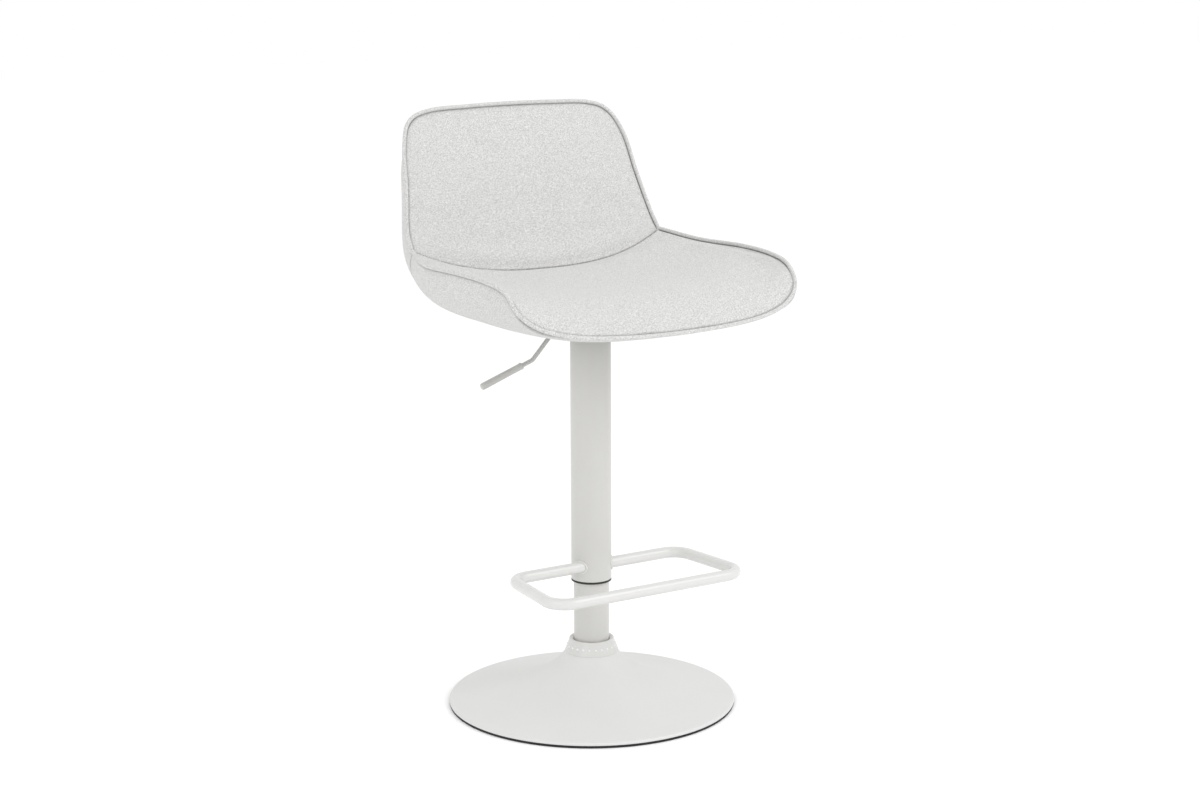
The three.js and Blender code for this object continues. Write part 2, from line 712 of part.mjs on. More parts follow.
// All layers are sampled at the same stations and the same shares of the half width, so that their faces
// run alongside each other.
const STATIONS = [
  0.2, 0.35, 0.7, 1.2, 1.8, 2.6, 3.4, 4.2, 4.7, 4.95, 4.98, 5.02, 5.05, 5.5, 6.1, 6.8, 7.5, 8.1, 8.6, 8.88,
];
const SHARES = [0, 0.12, 0.3, 0.5, 0.7, 0.86, 0.95, 0.985];

// A layer of the upholstery between the outer and the inner side, from station `from` to station `to`.
// `low` and `high` give its two faces: how far each lies from the outer side, as a share of the way
// to the inner side, for a given distance between the sides.
function layer({ from, to, reach, low, high }) {
  const stations = STATIONS.filter((station) => station >= from && station <= to);
  const half = SHARES.filter((share) => share <= reach);
  const shares = [...half.slice(1).map((share) => -share).reverse(), ...half];
  const rows = stations.length - 1;
  const width = shares.length;
  const positions = [];
  for (const face of [low, high]) {
    for (const station of stations) {
      for (const share of shares) {
        const outer = seatPoint("outer", station, share);
        const inner = seatPoint("inner", station, share);
        positions.push(...outer.clone().lerp(inner, face(outer.distanceTo(inner))).toArray());
      }
    }
  }
  const at = (face, i, j) => face * (rows + 1) * width + i * width + j;
  const index = [];
  const quad = (a, b, c, d) => index.push(a, b, c, a, c, d);
  for (let i = 0; i < rows; i++) {
    for (let j = 0; j < width - 1; j++) {
      quad(at(0, i, j), at(0, i, j + 1), at(0, i + 1, j + 1), at(0, i + 1, j));
      quad(at(1, i, j), at(1, i + 1, j), at(1, i + 1, j + 1), at(1, i, j + 1));
    }
    quad(at(0, i, 0), at(0, i + 1, 0), at(1, i + 1, 0), at(1, i, 0));
    quad(at(0, i, width - 1), at(1, i, width - 1), at(1, i + 1, width - 1), at(0, i + 1, width - 1));
  }
  for (let j = 0; j < width - 1; j++) {
    quad(at(0, 0, j), at(1, 0, j), at(1, 0, j + 1), at(0, 0, j + 1));
    quad(at(0, rows, j), at(0, rows, j + 1), at(1, rows, j + 1), at(1, rows, j));
  }
  const geometry = new THREE.BufferGeometry();
  geometry.setAttribute("position", new THREE.Float32BufferAttribute(positions, 3));
  geometry.setIndex(index);
  return closed(geometry);
}

// Faces of the layers. Each keeps its thickness where there is room, and thins out towards the edge.
const fromOuter = (distance, most) => (between) => Math.min(distance / between, most);
const fromInner = (distance, most) => (between) => 1 - Math.min(distance / between, most);
const SHELL_LOW = COVER + LAYER_GAP;
const SHELL_HIGH = SHELL_LOW + PLYWOOD;

// The first and the last station of each part of the seat, clear of the piping and of the seam.
const WHOLE = { from: 0.2, to: 8.88 };
const BOARD = { from: 0.35, to: 8.6 };
const PAN = { from: 0.2, to: 4.98 };
const PAN_FOAM = { from: 0.35, to: 4.95 };
const BACKREST = { from: 5.02, to: 8.88 };
const BACKREST_FOAM = { from: 5.05, to: 8.6 };

function outerCover() {
  const sheet = layer({ ...WHOLE, reach: 0.985, low: () => 0, high: fromOuter(COVER, 0.15) });
  const cords = [seatPiping(GAP), backPiping(GAP)];
  return carve(sheet, { removed: [...boltHoles(BOLT_RADIUS + GAP, 540, 560), ...cords] });
}

function seatShell() {
  const [low, high] = [fromOuter(SHELL_LOW, 0.2), fromOuter(SHELL_HIGH, 0.45)];
  const holes = boltHoles(NUT_BARREL_RADIUS + GAP, 540, 570);
  return carve(layer({ ...BOARD, reach: 0.95, low, high }), { removed: holes });
}

function foamPad(part) {
  const low = fromOuter(SHELL_HIGH + LAYER_GAP, 0.5);
  return layer({ ...part, reach: 0.95, low, high: fromInner(COVER + LAYER_GAP, 0.2) });
}

function innerCover(part) {
  const sheet = layer({ ...part, reach: 0.985, low: fromInner(COVER, 0.15), high: () => 1 });
  return carve(sheet, { removed: [seatPiping(GAP), backPiping(GAP)] });
}

// The cord in the seam follows the seat's edge. Each length runs from notch to notch.
function pipingAlong(half, clearance) {
  const mirrored = half.map((p) => new THREE.Vector3(-p.x, p.y, p.z)).reverse();
  return swept([...half, ...mirrored.slice(1)], PIPING_RADIUS + clearance, 6);
}

function seatPiping(clearance = 0) {
  const wing = [];
  for (let k = 0; k <= 20; k++) {
    wing.push(new THREE.Vector3(...sideEdge((WING_SPANS - 0.05) * (1 - k / 20))));
  }
  const front = [];
  for (let k = 1; k <= 9; k++) front.push(new THREE.Vector3(...frontEdge(1 - k / 9)));
  return pipingAlong([...wing, ...front], clearance);
}

function backPiping(clearance = 0) {
  const side = [];
  for (let k = 0; k <= 14; k++) {
    side.push(new THREE.Vector3(...sideEdge(WING_SPANS + 0.16 + ((BACK_SPANS - 0.16) * k) / 14)));
  }
  const top = [0.96, 0.9, 0.8, 0.66, 0.5, 0.34, 0.17, 0].map((share) => new THREE.Vector3(...topEdge(share)));
  return pipingAlong([...side, ...top], clearance);
}

function placeSeat() {
  const nutPockets = boltHoles(NUT_FLANGE_RADIUS + GAP, NUT_BOTTOM + 2, NUT_TOP + GAP);
  place("outer_cover", outerCover(), fabric);
  place("seat_shell", seatShell(), plywood);
  place("seat_foam", carve(foamPad(PAN_FOAM), { removed: nutPockets }), foam);
  place("back_foam", foamPad(BACKREST_FOAM), foam);
  place("seat_cover", innerCover(PAN), fabric);
  place("back_cover", innerCover(BACKREST), fabric);
  place("seat_piping", seatPiping(), fabric);
  place("back_piping", backPiping(), fabric);
}

placeBase();
placeGasLift();
placeOuterTube();
placeMechanism();
placeSeat();

export default group;
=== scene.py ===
# %% [markdown]
# # A bar stool with a footrest
#
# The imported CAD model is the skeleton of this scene. It already has every part of the stool at its real
# size, and it knows which body each part moves with. These cells dress it: they build the upholstery,
# the smooth metal and the small details, and give every part its finish. Everything is in metres, and
# the tables of lengths are in millimetres, as on a workshop drawing.

import math

import bpy
import numpy as np
from mathutils import Matrix, Vector, noise
from mathutils.kdtree import KDTree


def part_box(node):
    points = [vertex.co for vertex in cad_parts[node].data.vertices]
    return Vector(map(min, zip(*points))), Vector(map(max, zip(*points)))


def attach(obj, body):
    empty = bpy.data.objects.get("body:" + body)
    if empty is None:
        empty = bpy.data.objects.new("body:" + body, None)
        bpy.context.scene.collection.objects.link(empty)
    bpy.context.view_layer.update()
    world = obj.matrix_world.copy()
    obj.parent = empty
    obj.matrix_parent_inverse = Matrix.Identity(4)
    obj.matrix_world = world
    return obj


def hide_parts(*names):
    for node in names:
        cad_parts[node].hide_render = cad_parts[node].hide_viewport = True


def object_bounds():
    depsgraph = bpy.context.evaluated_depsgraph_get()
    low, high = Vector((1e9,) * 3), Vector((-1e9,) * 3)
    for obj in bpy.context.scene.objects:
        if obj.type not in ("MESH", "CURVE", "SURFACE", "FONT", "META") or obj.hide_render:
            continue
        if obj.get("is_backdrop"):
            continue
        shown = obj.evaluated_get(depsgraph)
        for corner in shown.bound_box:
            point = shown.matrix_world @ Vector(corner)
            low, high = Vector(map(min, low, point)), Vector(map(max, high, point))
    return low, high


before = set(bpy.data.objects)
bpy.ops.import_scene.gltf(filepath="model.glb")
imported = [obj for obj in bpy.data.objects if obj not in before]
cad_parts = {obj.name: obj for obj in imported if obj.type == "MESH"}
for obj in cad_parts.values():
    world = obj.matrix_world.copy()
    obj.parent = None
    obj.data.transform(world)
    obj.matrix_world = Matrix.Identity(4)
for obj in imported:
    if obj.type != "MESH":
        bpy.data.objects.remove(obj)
cad_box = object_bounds()
MM = 0.001
print("CAD box in metres:", [[round(v, 4) for v in corner] for corner in cad_box])

# %% [markdown]
# ## The camera
#
# A product picture is taken from a few metres away with a long lens, so that upright lines stay
# upright. The camera stands 3.3 m from the column, about a third of a right angle round to the
# sitter's right, and looks down by twelve degrees. It turns about Z, then tips, then rolls by a hair.

# %% Camera
CAMERA_PLACE = Vector((-1.7538, -2.7954, 1.1376))
CAMERA_ROUND = math.radians(-32.33)
CAMERA_DOWN = math.radians(11.952)
CAMERA_ROLL = math.radians(-0.179)
CAMERA_LENS, SENSOR_WIDTH = 72.39, 36  # both in millimetres

camera = bpy.data.objects.new("camera", bpy.data.cameras.new("camera"))
camera.data.sensor_width = SENSOR_WIDTH
camera.data.lens = CAMERA_LENS
camera.matrix_world = (
    Matrix.Translation(CAMERA_PLACE)
    @ Matrix.Rotation(CAMERA_ROUND, 4, "Z")
    @ Matrix.Rotation(math.pi / 2 - CAMERA_DOWN, 4, "X")
    @ Matrix.Rotation(CAMERA_ROLL, 4, "Z")
)
bpy.context.scene.collection.objects.link(camera)
bpy.context.scene.camera = camera
print("camera lens:", camera.data.lens, "mm")

# %% [markdown]
# ## Sums on sockets
#
# A material in Blender is a little network of nodes, and each node has sockets. Wiring dozens of Math
# nodes by hand hides the idea, so one small class wraps a socket and lets it stand in a sum: an
# expression such as `1 - seam` adds the Math node itself. A second class is the material. Its one
# method `node` adds any other node: first its settings, then the values or links of its sockets.

# %% A socket that can be used in sums
class Wire:
    """One output of a node. Sums with it add Math nodes."""

    def __init__(self, finish, socket):
        self.finish = finish
        self.socket = socket

    def maths(self, operation, *values):
        return self.finish.node("ShaderNodeMath", {"operation": operation}, dict(enumerate(values)))

    def output(self, name):
        return Wire(self.finish, self.socket.node.outputs[name])

    def __add__(self, other):
        return self.maths("ADD", self, other)

    def __radd__(self, other):
        return self.maths("ADD", other, self)

    def __sub__(self, other):
        return self.maths("SUBTRACT", self, other)

    def __rsub__(self, other):
        return self.maths("SUBTRACT", other, self)

    def __mul__(self, other):
        return self.maths("MULTIPLY", self, other)

    def __rmul__(self, other):
        return self.maths("MULTIPLY", other, self)

    def floor(self):
        return self.maths("FLOOR", self)

    def fraction(self):
        return self.maths("FRACT", self)

    def sine(self):
        return self.maths("SINE", self)

    def larger(self, other):
        return self.maths("MAXIMUM", self, other)

    def above(self, other):
        return self.maths("GREATER_THAN", self, other)


# %% A material and its nodes
class Finish:
    """A procedural material. Constants are set on the shader's own sockets."""

    def __init__(self, name, constants):
        self.material = bpy.data.materials.new(name)
        self.material.use_nodes = True
        self.tree = self.material.node_tree
        self.tree.nodes.clear()
        self.shader = self.tree.nodes.new("ShaderNodeBsdfPrincipled")
        surface = self.tree.nodes.new("ShaderNodeOutputMaterial")
        self.tree.links.new(self.shader.outputs[0], surface.inputs[0])
        for socket, value in constants.items():
            self.feed(socket, value)

    def node(self, kind, settings=None, inputs=None, output=0):
        made = self.tree.nodes.new(kind)
        for name, value in (settings or {}).items():
            setattr(made, name, value)
        for name, value in (inputs or {}).items():
            self.plug(made.inputs[name], value)
        return Wire(self, made.outputs[output])

    def plug(self, socket, value):
        if isinstance(value, Wire):
            self.tree.links.new(value.socket, socket)
        else:
            socket.default_value = value

    def feed(self, socket, value):
        self.plug(self.shader.inputs[socket], value)

    def here(self):
        """Where a point is on the object, in metres. It moves with the piece."""
        return self.node("ShaderNodeTexCoord", output="Object")

    def noise(self, size, detail=2.0, where=None, stretch=(1, 1, 1)):
        """Smooth noise from 0 to 1 with grains of `size` metres, drawn out by `stretch`."""
        where = where or self.here()
        drawn = self.node("ShaderNodeVectorMath", {"operation": "MULTIPLY"}, {0: where, 1: stretch})
        settings = {"Vector": drawn, "Scale": 1 / size, "Detail": detail}
        return self.node("ShaderNodeTexNoise", inputs=settings)

    def mix(self, first, second, share):
        sockets = {0: share, 6: first, 7: second}
        return self.node("ShaderNodeMix", {"data_type": "RGBA"}, sockets, output=2)

    def relief(self, height, depth, strength=1.0):
        """Feeds the shader's Normal with a relief of `depth` metres."""
        sockets = {"Height": height, "Distance": depth, "Strength": strength}
        self.feed("Normal", self.node("ShaderNodeBump", inputs=sockets))


def grey(value, warmth=0.0):
    """A near-white or near-black colour, a little yellower with more warmth."""
    return (value, value * (1 - 0.15 * warmth), value * (1 - warmth), 1)


print("shader helpers ready")

# %% [markdown]
# ## The upholstery cloth
#
# The cover is a plain weave of pale melange yarn: each yarn is spun from lighter and darker fibres, so
# its tone wanders along its length. The pieces below store where each point lies on the flat cloth, in
# metres, in an attribute called `weave`. One yarn passes over the next in turn, which is a sine of the
# place along it, shifted by half a wave from one yarn to the next. The higher of the two yarns shows.
# A second attribute, `seam`, is 1 in the bottom of a seam, and there the cloth's colour is darkened: painted
# shade of the groove.

# %% Cloth finish
YARN = 1.3 * MM
STRAY, STRAY_OVER = 2.2, 7 * MM  # how many yarns a line strays by, and over what distance
ALONG, ACROSS = 0.9, 1.7  # how quickly the tone changes along a yarn, and from one yarn to the next
WEFT_APART = 9.0  # gives the weft tones of its own
CROWN = 0.45  # how far a yarn rises and dips as it passes over and under
DARK_FIBRE, LIGHT_FIBRE = grey(0.42, 0.03), grey(0.80, 0.015)
# The colour and the strength of the painted shade in the bottom of a seam.
SEAM_SHADE_TONE, SEAM_SHADE_SHARE = grey(0.10, 0.05), 0.8
WEAVE_RELIEF = 0.35 * MM


def cloth_finish():
    softness = {"Sheen Weight": 0.2, "Sheen Roughness": 0.6, "Specular IOR Level": 0.25}
    finish = Finish("pale_melange_cloth", softness)
    flat = finish.node("ShaderNodeAttribute", {"attribute_name": "weave"}, output="Vector")
    seam = finish.node("ShaderNodeAttribute", {"attribute_name": "seam"}, output="Fac")
    wander = finish.noise(STRAY_OVER, 1.0, flat) * STRAY
    split = finish.node("ShaderNodeSeparateXYZ", inputs={0: flat})
    u = split * (1 / YARN) + wander
    v = split.output("Y") * (1 / YARN) - wander
    warp_wave = ((v + u.floor()) * math.pi).sine()
    weft_wave = ((u + v.floor()) * math.pi).sine()
    warp = (u.fraction() * math.pi).sine() * (warp_wave * CROWN + (1 - CROWN))
    weft = (v.fraction() * math.pi).sine() * ((1 - CROWN) - weft_wave * CROWN)
    warp_ends = {0: u.floor() * ACROSS, 1: v * ALONG, 2: 0.0}
    weft_ends = {0: u * ALONG, 1: v.floor() * ACROSS, 2: WEFT_APART}
    warp_place = finish.node("ShaderNodeCombineXYZ", inputs=warp_ends)
    weft_place = finish.node("ShaderNodeCombineXYZ", inputs=weft_ends)
    warp_tone = finish.noise(1.0, 1.0, warp_place)
    weft_tone = finish.noise(1.0, 1.0, weft_place)
    tone = weft_tone + warp.above(weft) * (warp_tone - weft_tone)
    patch = finish.noise(YARN, 1.0, flat)
    height = warp.larger(weft)
    # Noise keeps near its middle value, so it is stretched, then set back to run from about 0 to 1.
    # The yarn's height also adds painted shade: each yarn is a little lighter on its crown and darker where
    # it dips.
    shade = tone * 2.5 + patch * 1.7 + height * 0.15 - 1.7
    melange = finish.mix(DARK_FIBRE, LIGHT_FIBRE, shade)
    # Painted shade: towards the bottom of a seam, the cloth's colour is mixed towards a near black.
    finish.feed("Base Color", finish.mix(melange, SEAM_SHADE_TONE, seam * SEAM_SHADE_SHARE))
    finish.feed("Roughness", 0.98 - height * 0.12)
    finish.relief(height + tone * 0.4, WEAVE_RELIEF, 0.5)
    return finish


CLOTH = cloth_finish()
print("cloth nodes:", len(CLOTH.tree.nodes))

# %% [markdown]
# ## Painted metal, plastic, rubber and the rest
#
# The tubes and the base have a satin powder coat: a powder baked on, whose skin is very slightly
# pebbled. The pebbles are noise of about a millimetre that feeds a faint relief, and broader noise
# changes the gloss a little. The hidden parts are brushed or blackened steel, moulded plastic, rubber,
# birch plywood and cast iron. One function makes all of those that differ only in their numbers.

# %% Plain finishes
def grained(name, dark, light, grain, rough, relief_depth, constants=None, stretch=(1, 1, 1)):
    """A finish whose tone and gloss follow noise of size `grain`. `rough` is its lowest and highest."""
    finish = Finish(name, constants or {})
    fine = finish.noise(grain, 3.0, stretch=stretch)
    broad = finish.noise(40 * MM, 2.0)
    finish.feed("Base Color", finish.mix(dark, light, fine * 0.5 + broad * 0.5))
    finish.feed("Roughness", fine * (rough[1] - rough[0]) + rough[0])
    finish.relief(fine, relief_depth, 0.5)
    return finish


COATED = {"Coat Weight": 0.15, "Coat Roughness": 0.25}
FINISHES = {
    "white_coat": grained("satin_powder_coat", grey(0.565, 0.05), grey(0.605, 0.05), 1.4 * MM, (0.3, 0.42),
                          0.05 * MM, COATED),
    "white_plastic": grained("white_moulding", grey(0.62, 0.03), grey(0.67, 0.03), 0.8 * MM, (0.22, 0.34),
                             0.03 * MM),
    "upholstery": CLOTH,
    "foam": grained("cut_foam", grey(0.62, 0.2), grey(0.78, 0.15), 0.9 * MM, (0.9, 1.0), 0.4 * MM),
    "plywood": grained("birch_veneer", (0.42, 0.28, 0.16, 1), (0.66, 0.5, 0.33, 1), 2 * MM, (0.55, 0.7),
                       0.1 * MM, stretch=(1, 0.08, 1)),
    "black_steel": grained("black_coat", grey(0.015), grey(0.03), 1.0 * MM, (0.4, 0.55), 0.05 * MM,
                           {"Coat Weight": 0.1}),
    "bright_steel": grained("zinc_plate", (0.55, 0.55, 0.53, 1), (0.72, 0.72, 0.7, 1), 0.7 * MM,
                            (0.22, 0.38), 0.02 * MM, {"Metallic": 1.0}, (1, 1, 0.2)),
    "cast_iron": grained("painted_casting", grey(0.03), grey(0.06), 2.2 * MM, (0.6, 0.8), 0.3 * MM),
    "black_plastic": grained("black_moulding", grey(0.012), grey(0.022), 0.8 * MM, (0.45, 0.6), 0.03 * MM),
    "black_rubber": grained("soft_rubber", grey(0.01), grey(0.02), 0.6 * MM, (0.75, 0.9), 0.05 * MM),
}
# The lever's coat is set darker than the tubes' coat.
LEVER_COAT = grained("darker_powder_coat", grey(0.45, 0.05), grey(0.50, 0.05), 1.0 * MM, (0.25, 0.36),
                     0.04 * MM, COATED)
# The pips are a paler, glossier copy of the collar's plastic. The low roughness and the coat give real
# reflections, and the paler colour is a painted highlight.
PIP_GLOSS_AND_HIGHLIGHT = grained("glossy_pips_painted_highlight", grey(0.82), grey(0.88), 0.5 * MM, (0.08, 0.14), 0.005 * MM,
                    {"Coat Weight": 1.0, "Coat Roughness": 0.04})
DISH_COAT = grained("matt_powder_coat", grey(0.665, 0.01), grey(0.70, 0.01), 1.1 * MM, (0.5, 0.62),
                    0.06 * MM)
LOOP_COAT = grained("gloss_powder_coat", grey(0.66, 0.025), grey(0.70, 0.025), 2.0 * MM, (0.2, 0.3),
                    0.03 * MM, {"Coat Weight": 0.3, "Coat Roughness": 0.12})
print("finishes:", sorted(finish.material.name for finish in FINISHES.values()))

# %% [markdown]
# ## Pieces from points and faces
#
# Three ways of making a surface are enough for the metal. A lathe turns a profile about the column's
# axis, a sweep draws a round section along a route, and a dome is a small turned bump. Each returns a
# shape, which is a list of points and a list of faces, so that shapes can be joined before they become
# one object. Corners of a profile are rounded first, because a real edge always catches some light.

# %% Rounded profiles
def unit(vector):
    return vector / np.linalg.norm(vector)


def rounded(profile, radius, steps=4, sharpest=math.radians(15)):
    """The closed profile with a small curve in place of each real corner."""
    points = np.array(profile, float)
    out = []
    for k, corner in enumerate(points):
        back = points[k - 1] - corner
        ahead = points[(k + 1) % len(points)] - corner
        turn = math.pi - math.acos(np.clip(unit(back) @ unit(ahead), -1, 1))
        if turn < sharpest:
            out.append(corner)
            continue
        reach = min(radius, 0.45 * np.linalg.norm(back), 0.45 * np.linalg.norm(ahead))
        start, end = corner + unit(back) * reach, corner + unit(ahead) * reach
        for t in np.linspace(0, 1, steps):
            out.append((1 - t) ** 2 * start + 2 * t * (1 - t) * corner + t**2 * end)
    return np.array(out)


# %% Lathe and sweep
START_SIDE = (0.123, 0.31, 0.94)  # a direction that no route starts along


def turned(profile, sides=96):
    """A ring-shaped solid: a closed profile of (radius, height), turned about the Z axis."""
    angles = np.arange(sides) * 2 * math.pi / sides
    rows = len(profile)
    points = [(r * math.cos(a), r * math.sin(a), z) for a in angles for r, z in profile]
    faces = []
    for i in range(sides):
        for j in range(rows):
            a, b = i * rows + j, i * rows + (j + 1) % rows
            c, d = (i + 1) % sides * rows + (j + 1) % rows, (i + 1) % sides * rows + j
            faces.append((a, d, c, b))
    return points, faces


def swept(route, radius, sides=24, closed=False):
    """A round section along the route. `radius` is one number, or one for each point."""
    route = np.array(route, float)
    count = len(route)
    radii = np.broadcast_to(np.asarray(radius, float), count)
    if closed:
        tangents = np.roll(route, -1, 0) - np.roll(route, 1, 0)
    else:
        tangents = np.gradient(route, axis=0)
    tangents /= np.linalg.norm(tangents, axis=1)[:, None]
    side = unit(np.cross(tangents[0], START_SIDE))
    angles = np.arange(sides) * 2 * math.pi / sides
    points = []
    for place, tangent, r in zip(route, tangents, radii):
        side = unit(side - tangent * (side @ tangent))
        other = np.cross(tangent, side)
        points += [place + r * (math.cos(a) * side + math.sin(a) * other) for a in angles]
    faces = []
    for i in range(count if closed else count - 1):
        for j in range(sides):
            k, n = (j + 1) % sides, (i + 1) % count
            faces.append((i * sides + j, i * sides + k, n * sides + k, n * sides + j))
    if not closed:
        faces.append(tuple(range(sides))[::-1])
        faces.append(tuple((count - 1) * sides + j for j in range(sides)))
    return points, faces


# %% Bends, domes and joins
def bent(corners, radius, steps=10):
    """The middle line of a bent tube: straight runs, with an arc at each inner corner."""
    corners = np.array(corners, float)
    route = [corners[0]]
    for before, corner, after in zip(corners, corners[1:], corners[2:]):
        back, ahead = unit(before - corner), unit(after - corner)
        half = math.acos(back @ ahead) / 2
        centre = corner + unit(back + ahead) * radius / math.sin(half)
        start = corner + back * radius / math.tan(half) - centre
        end = corner + ahead * radius / math.tan(half) - centre
        sweep = math.pi - 2 * half
        for t in np.linspace(0, 1, steps):
            share = [math.sin((1 - t) * sweep), math.sin(t * sweep)]
            route.append(centre + (share[0] * start + share[1] * end) / math.sin(sweep))
    route.append(corners[-1])
    return np.array(route)


def dome(place, outward, radius, height, sides=10):
    """A small round bump on a surface."""
    outward = unit(np.array(outward, float))
    levels = np.linspace(0, 1, 4)[:-1]
    route = [np.array(place) + outward * height * math.sin(t * math.pi / 2) for t in levels]
    radii = [radius * math.cos(t * math.pi / 2) for t in levels]
    return swept(route, radii, sides)


def joined(*shapes):
    points, faces = [], []
    for more_points, more_faces in shapes:
        start = len(points)
        points += list(more_points)
        faces += [tuple(start + k for k in face) for face in more_faces]
    return points, faces


# %% Shapes become pieces
def make_piece(name, shape, finish, body, replaced=(), crisp=40):
    """One object: smooth but for edges sharper than `crisp` degrees, riding on its body."""
    points, faces = shape
    mesh = bpy.data.meshes.new(name)
    mesh.from_pydata([tuple(p) for p in points], [], faces)
    mesh.materials.append(finish.material)
    mesh.shade_smooth()
    mesh.set_sharp_from_angle(angle=math.radians(crisp))
    piece = bpy.data.objects.new(name, mesh)
    bpy.context.scene.collection.objects.link(piece)
    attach(piece, body)
    if replaced:
        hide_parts(*replaced)
    print(f"{name}: {len(faces)} faces on {body}")
    return piece


def radius_and_heights(node):
    low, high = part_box(node)
    return high.x, low.z, high.z


# %% [markdown]
# ## The base
#
# The base is one sheet of steel spun into a trumpet: almost flat at the rim, steep at the neck. Its
# rise follows a hyperbola with a short extra rise at the neck, so a formula gives as many points as
# the lathe needs for a clean curve. A rubber ring under the rim keeps the floor from being scratched,
# and shows as a thin dark line.

# %% Trumpet
RISE, SPREAD, DROP = 8023, 44.4, 24.6  # height = RISE / (radius + SPREAD) - DROP, in millimetres
SHEET = 2.0
NECK = 38.0
NECK_RISE, NECK_FADE = 1.7, 6.0  # a little steeper where the sheet meets the collar
FLANGE = 33.0  # the neck is turned inwards to this radius, under the collar
CURVE_END, CROWDING = 5.0, 1.6  # the curve stops short of the rim, and has more rows at the neck
RIM_FACE, RIM_STEP = 2.2, 1.6  # the rim's upright face, and the slope from it to the curve
SHEET_EDGE = 0.8
WIDE_SIDES = 160  # for the widest turned parts


def trumpet_height(radius):
    return RISE / (radius + SPREAD) - DROP + NECK_RISE * math.exp((NECK - radius) / NECK_FADE)


rim, rim_bottom, _ = radius_and_heights("base_dish")
rim /= MM
rim_bottom /= MM
neck_top = trumpet_height(NECK)
radii = NECK + (rim - CURVE_END - NECK) * np.linspace(1, 0, 40) ** CROWDING
outside = [(r, trumpet_height(r)) for r in radii] + [(FLANGE, neck_top)]
inside = [(FLANGE, neck_top - SHEET)] + [(r - SHEET, trumpet_height(r) - SHEET) for r in radii[:-1]][::-1]
edge = [(rim - SHEET, rim_bottom), (rim, rim_bottom), (rim, rim_bottom + RIM_FACE),
        (rim - RIM_STEP, trumpet_height(rim - SHEET))]
trumpet = rounded([*edge, *outside, *inside, (rim - SHEET, rim_bottom + SHEET / 2)], SHEET_EDGE)
make_piece("base_trumpet", turned(trumpet * MM, WIDE_SIDES), DISH_COAT, "base", ["base_dish"])

# %% Rubber ring
RING_WIDTH, RING_INSET, RING_BEVEL, RING_EDGE = 12 * MM, 0.2 * MM, 1 * MM, 0.4 * MM

ring_radius, ring_bottom, ring_top = radius_and_heights("floor_ring")
ring_inner = ring_radius - RING_WIDTH
ring_side = ring_radius - RING_INSET
ring_profile = [(ring_inner, ring_bottom), (ring_radius - RING_BEVEL, ring_bottom),
                (ring_side, ring_bottom + RING_BEVEL), (ring_side, ring_top), (ring_inner, ring_top)]
make_piece("base_rim_rubber", turned(rounded(ring_profile, RING_EDGE), WIDE_SIDES), FINISHES["black_rubber"],
           "base", ["floor_ring"])

# %% [markdown]
# ## The column
#
# Two tubes slide in each other. Both are plain turned parts, with the cut end of each rounded over. A
# black glide ring closes the outer one and keeps the paint from rubbing. The white collar that hides
# the joint with the base flares out at its foot, and has a row of small round pips at mid height.

# %% Tubes and glide ring
INNER_WALL, OUTER_WALL, CUT_EDGE = 1.8 * MM, 1.5 * MM, 0.5 * MM
GLIDE_BORE, GLIDE_GAP, GLIDE_EDGE = 25.25 * MM, 0.3 * MM, 0.6 * MM


def tube_shape(node, wall):
    radius, bottom, top = radius_and_heights(node)
    profile = [(radius - wall, bottom), (radius, bottom), (radius, top), (radius - wall, top)]
    return turned(rounded(profile, CUT_EDGE))


TUBE_COAT = FINISHES["white_coat"]
make_piece("column_inner", tube_shape("column_tube", INNER_WALL), TUBE_COAT, "base",
           ["column_tube"])
make_piece("column_outer", tube_shape("outer_tube", OUTER_WALL), TUBE_COAT, "seat",
           ["outer_tube"])

glide_radius, glide_bottom, glide_top = radius_and_heights("glide_ring")
tube_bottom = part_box("outer_tube")[0].z - GLIDE_GAP
glide_inside = glide_radius - OUTER_WALL - GLIDE_GAP
glide_profile = [(GLIDE_BORE, glide_bottom), (glide_radius, glide_bottom), (glide_radius, tube_bottom),
                 (glide_inside, tube_bottom), (glide_inside, glide_top), (GLIDE_BORE, glide_top)]
make_piece("column_glide", turned(rounded(glide_profile, GLIDE_EDGE)), FINISHES["black_plastic"], "seat",
           ["glide_ring"])

# %% Collar
COLLAR_FOOT, COLLAR_LIP, COLLAR_BORE = (NECK + 0.6) * MM, 31.5 * MM, 25.4 * MM
FLARE_CURVE, COLLAR_EDGE = 1.15, 0.7 * MM

collar_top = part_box("column_collar")[1].z
foot_z = neck_top * MM


def flare(share):
    """The collar's radius, from its foot (0) to its lip (1)."""
    return COLLAR_LIP + (COLLAR_FOOT - COLLAR_LIP) * (1 - share) ** FLARE_CURVE


side_profile = [(flare(t), foot_z + t * (collar_top - foot_z)) for t in np.linspace(0, 1, 14)]
mouth = [(COLLAR_LIP - 2 * MM, collar_top), (COLLAR_BORE + 1.5 * MM, collar_top - 1 * MM),
         (COLLAR_BORE, collar_top - 2.2 * MM)]
collar_profile = [(COLLAR_BORE, foot_z + 1 * MM), (FLANGE * MM, foot_z), *side_profile, *mouth]
make_piece("column_collar_ring", turned(rounded(collar_profile, COLLAR_EDGE)), FINISHES["white_plastic"],
           "base", ["column_collar"])

# %% Pips round the collar
PIPS, PIP_LEVEL = 24, 0.46  # the level is a share of the collar's height
PIP_RADIUS, PIP_HEIGHT, PIP_SINK = 1.7 * MM, 1.2 * MM, 0.2 * MM
PIP_TILT = 0.3  # how far a pip faces upwards, beside 1 outwards

